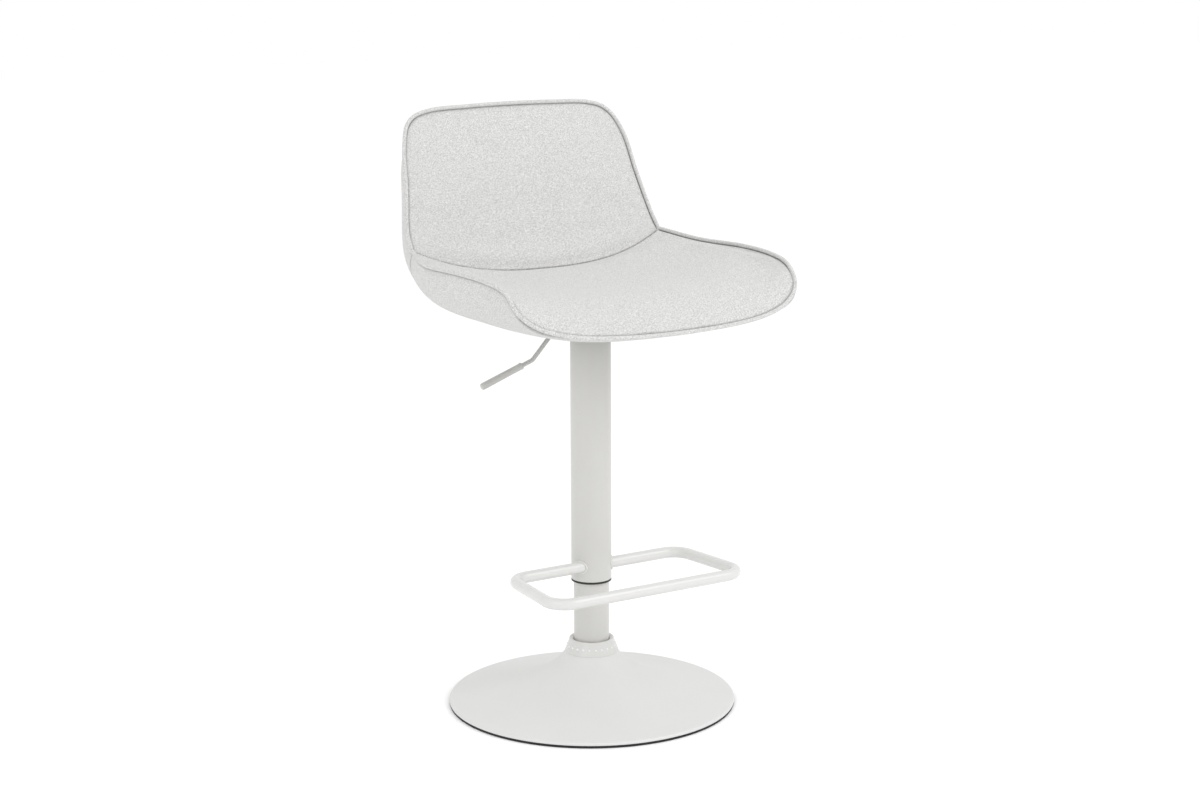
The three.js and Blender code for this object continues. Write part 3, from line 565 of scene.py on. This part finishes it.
pips = []
pip_z = foot_z + PIP_LEVEL * (collar_top - foot_z)
reach = flare(PIP_LEVEL) - PIP_SINK
for k in range(PIPS):
    angle = 2 * math.pi * (k + 0.5) / PIPS
    outward = np.array([math.cos(angle), math.sin(angle), PIP_TILT])
    pips.append(dome((reach * outward[0], reach * outward[1], pip_z), outward, PIP_RADIUS, PIP_HEIGHT))
# The pips' paler colour is a painted highlight, and their gloss is real.
make_piece("collar_pips", joined(*pips), PIP_GLOSS_AND_HIGHLIGHT, "base")

# %% [markdown]
# ## The footrest
#
# The loop is one bent tube whose two ends are cut to the curve of the outer tube and welded on. The
# first and last rings of points are therefore moved onto the tube's surface, which gives the saddle
# cut. Each weld is a bead drawn round its saddle, and its ripples are a small wave in the bead's radius.

# %% Footrest loop
ARM_Y, BACK_HALF, FRONT_HALF, BEND = -11.7, 140.0, 154.5, 28.0
LOOP_SIDES = 32
SADDLE_DEPTH = 0.1 * MM  # the arms end this far inside the tube's surface

low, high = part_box("footrest")
loop_z = (low.z + high.z) / 2
tube_radius = (high.z - low.z) / 2
front_y = low.y + tube_radius
outer_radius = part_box("outer_tube")[1].x
saddle = outer_radius - SADDLE_DEPTH
arm_y = ARM_Y * MM
half = [(saddle, arm_y, loop_z), (BACK_HALF * MM, arm_y, loop_z), (FRONT_HALF * MM, front_y, loop_z)]
corners = half + [(-x, y, z) for x, y, z in reversed(half)]
loop_points, loop_faces = swept(bent(corners, BEND * MM), tube_radius, LOOP_SIDES)
for k in [*range(LOOP_SIDES), *range(len(loop_points) - LOOP_SIDES, len(loop_points))]:
    x, y, z = loop_points[k]
    loop_points[k] = (math.copysign(math.sqrt(saddle**2 - y**2), x), y, z)
make_piece("footrest_loop", (loop_points, loop_faces), LOOP_COAT, "seat", ["footrest"])

# %% Welds
BEAD, RIPPLE, RIPPLES = 1.5 * MM, 0.25 * MM, 26
WELD_RISE = 0.1 * MM  # the middle of the bead lies this far outside the tube

for side, name in [(1, "footrest_weld_left"), (-1, "footrest_weld_right")]:
    turns = np.linspace(0, 2 * math.pi, 104, endpoint=False)
    around = tube_radius + 0.4 * BEAD
    ys, zs = arm_y + around * np.cos(turns), loop_z + around * np.sin(turns)
    xs = side * np.sqrt((outer_radius + WELD_RISE) ** 2 - ys**2)
    radii = BEAD + RIPPLE * np.sin(RIPPLES * turns)
    bead = swept(np.stack([xs, ys, zs], 1), radii, 10, closed=True)
    make_piece(name, bead, LOOP_COAT, "seat")

# %% [markdown]
# ## The release lever
#
# A round rod comes out level from under the seat on the sitter's right, bends down, bends outwards
# again, and ends in a sleeve. The sleeve has a rolled mouth and a rounded tip, so its radius changes
# along its route, while the rod's stays the same.

# %% Lever and its sleeve
LEVER_CORNERS = [(4, 0, 537), (-65, 0, 537), (-94, 0, 506), (-172, 0, 478)]
LEVER_BEND, LEVER_RADIUS = 9 * MM, 3 * MM
# The sleeve as (distance from the second bend, radius).
SLEEVE = [(18.0, 3.3), (18.2, 4.5), (19.0, 5.0), (20.2, 5.0), (21.2, 4.5), (40.0, 4.6), (74.0, 4.8),
          (84.0, 4.8), (85.2, 4.3), (85.8, 3.0)]

lever_corners = np.array(LEVER_CORNERS) * MM
lever_rod = swept(bent(lever_corners, LEVER_BEND), LEVER_RADIUS, 20)
make_piece("lever_rod", lever_rod, LEVER_COAT, "lever", ["release_lever"])
bend, tip = lever_corners[2], lever_corners[3]
along = unit(tip - bend)
sleeve_route = [bend + along * distance * MM for distance, _ in SLEEVE]
sleeve = swept(sleeve_route, [radius * MM for _, radius in SLEEVE], 28)
make_piece("lever_sleeve", sleeve, LEVER_COAT, "lever", ["lever_grip"])

# %% [markdown]
# ## The seat's two surfaces
#
# The seat is a bucket. Its whole outline is one edge with a cord in it: along the front, back along
# each wing, down into a notch, and up and over the backrest. Inside the edge is the side that is sat
# on, and outside it the rounded shell. A place on either is given by a station, from 0 at the front
# over 5 at the notches to 9 at the top, and by its share of the half width, from -1 to 1. Smooth
# curves run through the middle line and the edge, and a power of the share gives the curve between.

# %% Lines of the seat, in millimetres
FRONT_EDGE = [(0, -216, 567), (84, -214, 569), (150, -206, 575), (195, -193, 587)]
WING_EDGE = [(220, -178, 607), (225, -153, 632), (229, -105, 641), (231, -34, 643), (226, 61, 641),
             (205, 137, 650)]
BACK_EDGE = [(205, 137, 650), (202, 155, 676), (191, 176, 732), (183, 196, 784), (166, 213, 819)]
TOP_EDGE = [(132, 218, 833), (68, 220, 836), (0, 220, 837)]
PAN_LINE = [(-216, 567), (-202, 593), (-140, 604), (-50, 602), (40, 603), (112, 612)]
BACKREST_LINE = [(112, 612), (143, 652), (172, 715), (198, 780), (220, 837)]
UNDERSIDE_LINE = [(-216, 567), (-180, 556), (-100, 549.5), (-20, 548.5), (80, 551), (167, 566),
                  (211, 606), (232, 680), (235, 770), (220, 837)]
RISE_STATIONS, RISE_POWERS = [0, 1, 4, 6, 9], [3.8, 3.6, 3.2, 2.2, 6]
NOTCH, TOP = 5, 9

print("middle line of the pan:", len(PAN_LINE), "points; of the backrest:", len(BACKREST_LINE))

# %% Curves through the points
def curve(points, count, before=None, after=None):
    """A smooth curve through the points; `count` counts points from 0."""
    points = np.array(points, float)
    last = len(points) - 1
    head = 2 * points[0] - points[1] if before is None else np.array(before, float)
    tail = 2 * points[last] - points[last - 1] if after is None else np.array(after, float)
    knots = np.vstack([head, points, tail])
    first = min(int(count), last - 1)
    u = count - first
    a, b, c, d = knots[first : first + 4]
    return 0.5 * (2 * b + (c - a) * u + (2 * a - 5 * b + 4 * c - d) * u**2 + (3 * b - a - 3 * c + d) * u**3)


def side_edge(station):
    if station <= NOTCH:
        return curve(WING_EDGE, station, FRONT_EDGE[-1])
    return curve(BACK_EDGE, station - NOTCH, None, TOP_EDGE[0])


def inner_middle(station):
    return curve(PAN_LINE, station) if station <= NOTCH else curve(BACKREST_LINE, station - NOTCH)


def cross_edge(points, beyond):
    """A function from the share of the half width to a point of the front or top edge."""
    mirrored = (-points[1][0], *points[1][1:])
    dense = np.array([curve(points, c, mirrored, beyond) for c in np.linspace(0, len(points) - 1, 300)])
    shares = dense[:, 0] / points[-1][0]
    return lambda share: np.stack([np.interp(share, shares, dense[:, k]) for k in range(3)], -1)


front_edge = cross_edge([*FRONT_EDGE, WING_EDGE[0]], WING_EDGE[1])
top_edge = cross_edge([*TOP_EDGE[::-1], BACK_EDGE[-1]], BACK_EDGE[-2])

# %% Points of a surface
DEPTH_POWER = 2.2  # how late a row curves back towards its edge
SHELL_WIDTH_POWER, SHELL_WALL_POWER = 0.8, 0.62  # the round section of the shell
FRONT_FADE, TOP_FADE = 0.6, 1.5  # the stations over which the shell becomes round
END_REACH = 1.5  # the stations over which the front and top edges bend the rows near them


def ease(x):
    x = np.clip(x, 0, 1)
    return x * x * (3 - 2 * x)


def seat_surface(side, stations, shares):
    """Rows of points in metres, one row for each station. `shares` is one row for all, or one for each."""
    rows = []
    for station, own in zip(stations, np.broadcast_to(shares, (len(stations), np.shape(shares)[-1]))):
        share = np.abs(own)
        angle = share * math.pi / 2
        wall = 1 - np.clip(np.cos(angle), 0, 1) ** SHELL_WALL_POWER
        border = side_edge(station)
        middle = inner_middle(station) if side == "inner" else curve(UNDERSIDE_LINE, station)
        trough = 0.0 if side == "inner" else ease(min(station / FRONT_FADE, (TOP - station) / TOP_FADE))
        power = np.interp(station, RISE_STATIONS, RISE_POWERS)
        x = border[0] * (share * (1 - trough) + np.sin(angle) ** SHELL_WIDTH_POWER * trough)
        y = middle[0] + (border[1] - middle[0]) * (share**DEPTH_POWER * (1 - trough) + wall * trough)
        z = middle[1] + (border[2] - middle[1]) * (share**power * (1 - trough) + wall * trough)
        row = np.stack([x, y, z], -1)
        # Near the front and the top, a row gives way to that edge's own line.
        for end, line in [(0, front_edge), (TOP, top_edge)]:
            pull = max(0.0, 1 - abs(station - end) / END_REACH) ** 2
            corner, centre = side_edge(end), inner_middle(end)
            own_y = centre[0] + (corner[1] - centre[0]) * share**DEPTH_POWER
            own_z = centre[1] + (corner[2] - centre[1]) * share ** np.interp(end, RISE_STATIONS, RISE_POWERS)
            row += pull * (line(share) - np.stack([corner[0] * share, own_y, own_z], -1))
        row[:, 0] *= np.sign(own)
        rows.append(row * MM)
    return np.array(rows)


check = seat_surface("inner", [0, 2.5, NOTCH, TOP], np.array([0.0, 1.0]))
print("seat width at the notches:", round(2 * check[2, 1, 0], 3), "m; top at", round(check[3, 0, 2], 3), "m")

# %% [markdown]
# ## Sheets with seams
#
# A cover is a grid of points over one of those surfaces. Near a seam the cloth is pulled in, so a
# groove runs beside every cord. The grid has extra rows there, at set distances from the seam. How
# far a point sinks towards the other surface, and how dark its painted shade is, follows from how far it
# is from the seam: in a straight line for a cord, and counted in stations for the seam between the notches.
# It never sinks through. Two grids back to back make a closed pad.

# %% Seams
# Each row is (distance from the seam, depth, shade): the first two in millimetres, the last from 0 to 1.
BESIDE_CORD = [(1.2, 3.6, 1.0), (2.6, 2.7, 1.0), (3.6, 1.4, 0.7), (5.0, 0.5, 0.1), (7.2, 0.1, 0.0),
               (10.0, 0.0, 0.0)]
OUTSIDE_CORD = [(1.2, 4.2, 1.0), (2.7, 3.3, 1.0), (4.0, 1.9, 1.0), (5.4, 0.7, 0.2), (7.6, 0.1, 0.0),
                (10.0, 0.0, 0.0)]
IN_CREASE = [(0.3, 2.2, 0.35), (1.1, 1.1, 0.1), (2.4, 0.5, 0.0), (5.0, 0.2, 0.0), (9.0, 0.0, 0.0)]
IN_SEAM = [(0.3, 1.6, 0.8), (1.0, 0.8, 0.4), (2.2, 0.25, 0.05), (5.0, 0.0, 0.0)]


def seam_values(seam, distance):
    """The depth in metres and the shade at each distance from a seam."""
    steps, depths, shades = np.array(seam).T
    return np.interp(distance / MM, steps, depths) * MM, np.interp(distance / MM, steps, shades)


def deeper(first, second):
    """The larger depth and the larger shade of two seams."""
    return np.maximum(first[0], second[0]), np.maximum(first[1], second[1])


# %% Grid lines, denser beside the seams
def lengths_along(points, axis=0):
    """How far each point lies along its line, or along its row or column of a grid."""
    steps = np.linalg.norm(np.diff(points, axis=axis), axis=-1)
    return np.concatenate([np.zeros_like(np.take(steps, [0], axis)), np.cumsum(steps, axis)], axis)


def station_line(start, end, first, last, count):
    """Stations from start to end. `first` and `last` say which seam is at each end, and how many
    millimetres a station is worth there; `count` is the number of rows between the seams' own."""
    ahead = [start + row[0] / first[1] for row in first[0]]
    behind = [end - row[0] / last[1] for row in reversed(last[0])]
    middle = np.linspace(ahead[-1], behind[0], count + 2)[1:-1]
    return np.array([*ahead, *middle, *behind])


def share_lines(side, stations, seam, count):
    """Evenly spaced shares for each station, measured along the surface, with the seam's rows at its edge."""
    dense = 1 - np.linspace(1, 0, 500) ** 2
    lines = []
    for row in seat_surface(side, stations, dense):
        run = lengths_along(row)
        beside = [run[-1] - distance * MM for distance, _, _ in reversed(seam)]
        wanted = [*np.linspace(0, beside[0], count + 1)[:-1], *beside]
        half = np.interp(wanted, run, dense)
        lines.append([*-half[:0:-1], *half])
    return np.array(lines)


# %% A closed sheet between two faces
def flat_cloth(rows):
    """Where each point lies on the flat cloth: the length along its row, and along the middle column."""
    across = lengths_along(rows, 1)
    middle = across.shape[1] // 2
    along = np.broadcast_to(lengths_along(rows, 0)[:, [middle]], across.shape)
    return np.stack([across - across[:, [middle]], along, np.zeros_like(across)], -1)


def closed_sheet(upper, lower):
    """Faces that close two grids of points back to back. The upper one faces the sitter."""
    height, width = upper.shape[:2]
    points = [*upper.reshape(-1, 3), *lower.reshape(-1, 3)]
    under = height * width
    faces = []
    for i in range(height - 1):
        for j in range(width - 1):
            a, b, c, d = i * width + j, i * width + j + 1, (i + 1) * width + j + 1, (i + 1) * width + j
            faces += [(a, b, c, d), (under + a, under + d, under + c, under + b)]
    rim = [*range(width)] + [i * width + width - 1 for i in range(1, height)]
    rim += [(height - 1) * width + j for j in range(width - 2, -1, -1)]
    rim += [i * width for i in range(height - 2, 0, -1)]
    for a, b in zip(rim, rim[1:] + rim[:1]):
        faces.append((b, a, under + a, under + b))
    return points, faces


def add_weave(piece, flat, shade=None):
    """Stores where each point lies on the flat cloth, and the painted shade of a seam there, for the cloth
    finish.
    """
    copies = len(piece.data.vertices) // (flat.size // 3)
    attribute = piece.data.attributes.new("weave", "FLOAT_VECTOR", "POINT")
    attribute.data.foreach_set("vector", np.tile(flat.ravel(), copies).astype(np.float32))
    if shade is not None:
        attribute = piece.data.attributes.new("seam", "FLOAT", "POINT")
        attribute.data.foreach_set("value", np.tile(shade.ravel(), copies).astype(np.float32))


# %% [markdown]
# ## Swelling a pad
#
# Foam pushes its cover outwards until the cloth is tight. Blender's cloth solver does the same with a
# pressure inside a closed mesh. The grid is already even enough for it, so it isn't remeshed, and the
# map of the weave stays with the points. The rows beside the seams and the side against the shell are
# held. The pad starts a few millimetres too thin, swells for twenty frames, and no point may move
# further than a set distance. The result is written back, so that the cloth modifier can go, and a
# subdivision modifier then makes the grid smoother.

# %% Cloth under pressure
FRAMES = 20
PRESSURE, STRETCHING, BENDING = 4.0, 12, 2
MOST = 8 * MM  # no point moves further than this


def swell(piece, held):
    group = piece.vertex_groups.new(name="held")
    group.add([int(k) for k in held], 1.0, "REPLACE")
    cloth = piece.modifiers.new("swell", "CLOTH")
    cloth.settings.use_pressure = True
    cloth.settings.uniform_pressure_force = PRESSURE
    cloth.settings.effector_weights.gravity = 0
    cloth.settings.vertex_group_mass = group.name
    cloth.settings.tension_stiffness = STRETCHING
    cloth.settings.compression_stiffness = STRETCHING
    cloth.settings.bending_stiffness = BENDING
    cloth.point_cache.frame_start, cloth.point_cache.frame_end = 1, FRAMES
    before = np.array([v.co for v in piece.data.vertices])
    for number in range(1, FRAMES + 1):
        bpy.context.scene.frame_set(number)
    evaluated = piece.evaluated_get(bpy.context.evaluated_depsgraph_get())
    after = np.array([v.co for v in evaluated.data.vertices])
    piece.modifiers.remove(cloth)
    bpy.context.scene.frame_set(1)
    move = after - before
    size = np.linalg.norm(move, axis=1, keepdims=True)
    move *= MOST * np.tanh(size / MOST) / np.maximum(size, 1e-9)
    piece.data.vertices.foreach_set("co", (before + move).ravel())
    piece.data.update()
    peak, average = move[:, 2].max() / MM, size.mean() / MM
    print(f"{piece.name}: swelled by {peak:.1f} mm at most, {average:.1f} mm on average")


def softened(rows, towards, amount, size):
    """The rows with a faint unevenness of `amount` metres, in bumps of `size` metres."""
    waves = np.array([[noise.noise(Vector(p) / size) for p in row] for row in rows])
    return rows + towards * (waves * amount)[..., None]


def refine(piece):
    """Each face becomes four, on a smooth surface."""
    finer = piece.modifiers.new("finer", "SUBSURF")
    finer.levels = finer.render_levels = 1


# %% [markdown]
# ## Seat pad and back pad
#
# The two pads meet in a crease that runs from notch to notch, and both are tight where they meet the
# cords. Each stands for its cover and its foam together. The lower face lies on the plywood, at a set
# distance from the outer surface, and halfway between the surfaces where the seat gets thin.

# %% Distances from the seams
def surfaces(stations, shares):
    """The inner and outer points, how far they lie apart, and the way from the inner one to the outer."""
    inner = seat_surface("inner", stations, shares)
    outer = seat_surface("outer", stations, shares)
    between = np.linalg.norm(outer - inner, axis=2)
    return inner, outer, between, (outer - inner) / np.maximum(between, 1e-9)[..., None]


left_cord = [side_edge(station) for station in np.linspace(0, TOP, 900)]
left_cord += [line(share) for line in [front_edge, top_edge] for share in np.linspace(0, 1, 300)]
cord_points = np.array(left_cord) * MM
cord_points = np.vstack([cord_points, cord_points * (-1, 1, 1)])
cord_tree = KDTree(len(cord_points))
for index, point in enumerate(cord_points):
    cord_tree.insert(point, index)
cord_tree.balance()


def from_cord(rows):
    """How far each point is from the nearest cord, in a straight line."""
    return np.array([[cord_tree.find(point)[2] for point in row] for row in rows])


def from_notch(stations, per_station):
    """How far each station is from the seam between the notches."""
    return np.abs(stations - NOTCH)[:, None] * per_station * MM


print("points on the cords:", len(cord_points))

# %% Build a pad
BOARD_TOP = 13.2 * MM  # from the outer surface to the top of the plywood, with its gap
SINK = 3.4 * MM  # how much too thin a pad starts
SINK_FROM, SINK_OVER = 6 * MM, 34 * MM  # it starts this far from a seam, and grows over this width
HELD = 6.5 * MM  # the cloth is held this close to a seam
DEEPEST = 0.42  # a seam takes no more than this share of the thickness
SOFT = 120  # cloth is shaded smooth but for edges sharper than this, in degrees


def pad_piece(name, stations, per_station, columns, replaced):
    """A swelled pad. `per_station` is millimetres, and `columns` counts those between middle and seam."""
    shares = share_lines("inner", stations, BESIDE_CORD, columns)
    inner, outer, between, outward = surfaces(stations, shares)
    cord_distance = from_cord(inner)
    crease_distance = from_notch(stations, per_station)
    crease_values = seam_values(IN_CREASE, crease_distance)
    seam_depth, shade = deeper(seam_values(BESIDE_CORD, cord_distance), crease_values)
    rim_distance = np.minimum(cord_distance, crease_distance)
    sink = SINK * ease((rim_distance - SINK_FROM) / SINK_OVER)
    depth = np.minimum(seam_depth + sink, DEEPEST * between)
    upper = softened(inner + outward * depth[..., None], outward, 0.5 * MM, 60 * MM)
    share_below = np.minimum(BOARD_TOP / np.maximum(between, 1e-9), 0.5)
    lower = outer + (inner - outer) * share_below[..., None]
    piece = make_piece(name, closed_sheet(upper, lower), CLOTH, "seat", replaced, crisp=SOFT)
    add_weave(piece, flat_cloth(inner), shade)
    count = rim_distance.size
    held = [*np.flatnonzero(rim_distance.ravel() < HELD), *range(count, 2 * count)]
    swell(piece, held)
    refine(piece)
    return piece


# %% Pan and backrest
pan_stations = station_line(0, NOTCH, (BESIDE_CORD, 32), (IN_CREASE, 75), 42)
seat_pad = pad_piece("seat_pad", pan_stations, 75, 32, ["seat_cover", "seat_foam"])
back_stations = station_line(NOTCH, TOP, (IN_CREASE, 45), (BESIDE_CORD, 55), 32)
back_pad = pad_piece("back_pad", back_stations, 45, 26, ["back_cover", "back_foam"])

# %% [markdown]
# ## The outside of the seat
#
# The outer cover is drawn tight over the plywood shell with a thin lining, so it isn't swelled. A seam
# runs across it from notch to notch, low round the back. It is one grid over the outer surface, in two
# lengths with the seam's rows where they meet.

# %% Outer cover
LINING, LINING_SHARE = 3.0 * MM, 0.12  # its thickness, and the most that it takes of the seat's
SET_BACK = 0.1 * MM  # set in a little, to leave room for its bumps
NOTCH_SPACING = 65  # millimetres per station round the seam

front_stations = station_line(0, NOTCH, (OUTSIDE_CORD, 32), (IN_SEAM, 80), 40)
rear_stations = station_line(NOTCH, TOP, (IN_SEAM, 50), (OUTSIDE_CORD, 55), 34)
stations = np.concatenate([front_stations, rear_stations])
inner, outer, between, outward = surfaces(stations, share_lines("outer", stations, OUTSIDE_CORD, 40))
cord_values = seam_values(OUTSIDE_CORD, from_cord(outer))
depth, shade = deeper(cord_values, seam_values(IN_SEAM, from_notch(stations, NOTCH_SPACING)))
depth = np.minimum(depth, DEEPEST * between) + SET_BACK
skin = softened(outer - outward * depth[..., None], -outward, 0.3 * MM, 70 * MM)
lining = skin - outward * np.minimum(LINING, LINING_SHARE * between)[..., None]
shell_cover = make_piece("shell_cover", closed_sheet(lining, skin), CLOTH, "seat",
                         ["outer_cover"], crisp=SOFT)
add_weave(shell_cover, flat_cloth(outer), shade)
refine(shell_cover)

# %% [markdown]
# ## The cords in the seams
#
# A welt is a cord with cloth sewn round it, cut on the bias, so its weave runs at a slant. One welt
# goes round the wings and the front, the other round the backrest. At each notch an end dives into the
# seam, so that no cut end shows, and the back's welt passes on the outside of the other.

# %% Welts
CORD, CORD_SIDES = 2.75 * MM, 14
CUT_END = 0.55  # a cut end is pinched to this share
WING_START, BACK_START = NOTCH - 0.04, NOTCH + 0.16  # where each welt comes out of the seam


def both_sides(half):
    """A line on the left half, carried on by its mirror image."""
    half = np.array(half)
    return np.vstack([half, (half * (-1, 1, 1))[-2::-1]])


def welt(name, route, replaced):
    radii = np.full(len(route), CORD)
    radii[[0, -1]] = CUT_END * CORD
    cord = swept(route, radii, CORD_SIDES)
    piece = make_piece(name, cord, CLOTH, "seat", [replaced], crisp=SOFT)
    run = lengths_along(route)
    around = np.arange(CORD_SIDES) * 2 * math.pi * CORD / CORD_SIDES
    bias = [((r + a) * math.sqrt(0.5), (r - a) * math.sqrt(0.5), 0) for r in run for a in around]
    add_weave(piece, np.array(bias))
    print(f"{name}: {run[-1]:.3f} m long")


wing = [side_edge(s) for s in np.linspace(WING_START, 0, 90)]
front = [front_edge(s) for s in np.linspace(1, 0, 60)[1:]]
dive = np.array(side_edge(WING_START)) + [(-5, 5, -7), (-2.5, 2.5, -2.5)]
welt("welt_wings", both_sides([*dive, *wing, *front]) * MM, "seat_piping")

rise = [side_edge(s) for s in np.linspace(BACK_START, TOP, 80)]
top = [top_edge(s) for s in np.linspace(1, 0, 50)[1:]]
start = np.array(side_edge(BACK_START)) + [(-1, -1, -11), (0.8, -0.5, -5.5)]
welt("welt_back", both_sides([*start, *rise, *top]) * MM, "back_piping")

# %% [markdown]
# ## Stitches in the crease
#
# The pan's cover and the back's cover are sewn together in the crease. The thread shows only from
# close up, as a row of short stitches at the bottom of the groove. Each is a tiny bent bar with its
# ends in the cloth, all joined into one piece.

# %% Thread
STITCH, PITCH, THREAD = 3.2 * MM, 5.0 * MM, 0.35 * MM
THREAD_DEPTH, THREAD_LIFT = 3.0 * MM, 0.5 * MM
FIRST_STITCH, LAST_STITCH = 4 * MM, 8 * MM  # how far from each end of the row
ROW = np.linspace(-0.93, 0.93, 400)  # the shares of the half width that the row covers

crease = seat_surface("inner", [NOTCH], ROW)[0]
below = seat_surface("outer", [NOTCH], ROW)[0]
deep = below - crease
crease = crease + deep / np.linalg.norm(deep, axis=1)[:, None] * THREAD_DEPTH
run = lengths_along(crease)


def at_length(length):
    return np.array([np.interp(length, run, crease[:, k]) for k in range(3)])


stitches = []
for begin in np.arange(FIRST_STITCH, run[-1] - LAST_STITCH, PITCH):
    a, b = at_length(begin), at_length(begin + STITCH)
    lift = unit(np.array([0, -0.7, 0.7])) * THREAD_LIFT
    stitches.append(swept([a - lift, a, (a + b) / 2 + 0.6 * lift, b, b - lift], THREAD, 6))
make_piece("crease_stitches", joined(*stitches), FINISHES["white_plastic"], "seat")
print("stitches:", len(stitches))

# %% [markdown]
# ## The parts that stay
#
# The mechanism, the gas lift and the fixings keep their CAD shapes. The mesh itself isn't touched:
# modifiers merge its corners, round its edges and smooth its shading as it is drawn. Each part takes
# the finish of the material slot that it already names.

# %% Smooth shading as a modifier
smooth_faces = bpy.data.node_groups.new("smooth_faces", "GeometryNodeTree")
for direction in ["INPUT", "OUTPUT"]:
    smooth_faces.interface.new_socket("Geometry", in_out=direction, socket_type="NodeSocketGeometry")
enter = smooth_faces.nodes.new("NodeGroupInput")
shade = smooth_faces.nodes.new("GeometryNodeSetShadeSmooth")
leave = smooth_faces.nodes.new("NodeGroupOutput")
smooth_faces.links.new(enter.outputs[0], shade.inputs[0])
smooth_faces.links.new(shade.outputs[0], leave.inputs[0])
print("smoothing nodes:", len(smooth_faces.nodes))

# %% Dress every CAD node
EDGE, EDGE_ANGLE = 0.35 * MM, math.radians(40)
MERGE = 0.01 * MM

for name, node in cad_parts.items():
    slot = node.material_slots[0].material.name
    node.material_slots[0].material = FINISHES[slot].material
    if node.hide_render:
        continue
    weld = node.modifiers.new("weld", "WELD")
    weld.merge_threshold = MERGE
    smooth = node.modifiers.new("smooth", "NODES")
    smooth.node_group = smooth_faces
    bevel = node.modifiers.new("edges", "BEVEL")
    bevel.width = EDGE
    bevel.segments = 2
    bevel.limit_method = "ANGLE"
    bevel.angle_limit = EDGE_ANGLE
    node.modifiers.new("normals", "WEIGHTED_NORMAL")
kept = [name for name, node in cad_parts.items() if not node.hide_render]
print("CAD parts kept:", len(kept))

# %% [markdown]
# ## Floor and light
#
# A white product stands in a white room: a pale floor, an even sky all round, and two large soft boxes
# that give the metal something to reflect and the cloth its gentle shading.

# %% Floor
FLOOR_GLOW = 0.07  # lifts the pale floor to the white of the room around it
UNDER_FEET = -0.2 * MM
FLOOR_HALF = 12.0

floor_values = {"Roughness": 0.9, "Specular IOR Level": 0.1, "Emission Strength": FLOOR_GLOW}
floor_finish = Finish("pale_floor", floor_values)
floor_finish.feed("Base Color", floor_finish.mix(grey(0.93), grey(0.95), floor_finish.noise(0.4)))
floor_finish.feed("Emission Color", grey(1.0))
floor_mesh = bpy.data.meshes.new("floor")
quarters = [(-1, -1), (1, -1), (1, 1), (-1, 1)]
floor_corners = [(x * FLOOR_HALF, y * FLOOR_HALF, UNDER_FEET) for x, y in quarters]
floor_mesh.from_pydata(floor_corners, [], [(0, 1, 2, 3)])
floor_mesh.materials.append(floor_finish.material)
floor = bpy.data.objects.new("floor", floor_mesh)
bpy.context.scene.collection.objects.link(floor)
floor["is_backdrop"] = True
print("floor:", 2 * FLOOR_HALF, "m square")

# %% Lights
SKY = 1.0


def soft_box(name, place, target, size, power):
    light = bpy.data.lights.new(name, "AREA")
    light.shape = "SQUARE"
    light.size = size
    light.energy = power
    lamp = bpy.data.objects.new(name, light)
    lamp.location = place
    lamp.rotation_euler = (Vector(target) - Vector(place)).to_track_quat("-Z", "Y").to_euler()
    bpy.context.scene.collection.objects.link(lamp)


world = bpy.data.worlds.new("white_room")
world.use_nodes = True
world.node_tree.nodes["Background"].inputs["Color"].default_value = (1, 1, 1, 1)
world.node_tree.nodes["Background"].inputs["Strength"].default_value = SKY
bpy.context.scene.world = world
soft_box("key", (1.6, -2.2, 2.6), (0, 0, 0.4), 1.8, 26)
soft_box("fill", (-2.4, -1.2, 1.6), (0, 0, 0.4), 1.6, 8)
bpy.context.scene.view_settings.view_transform = "Standard"

# %% [markdown]
# ## Sizes and the end
#
# The last line prints how far the finished model's box has grown past the CAD box on each side, in
# millimetres.

# %% Compare the boxes and finish
visual_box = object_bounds()
grown = [[round((v - c) / MM, 1) for c, v in zip(*pair)] for pair in zip(cad_box, visual_box)]
print("grown by (mm):", grown)
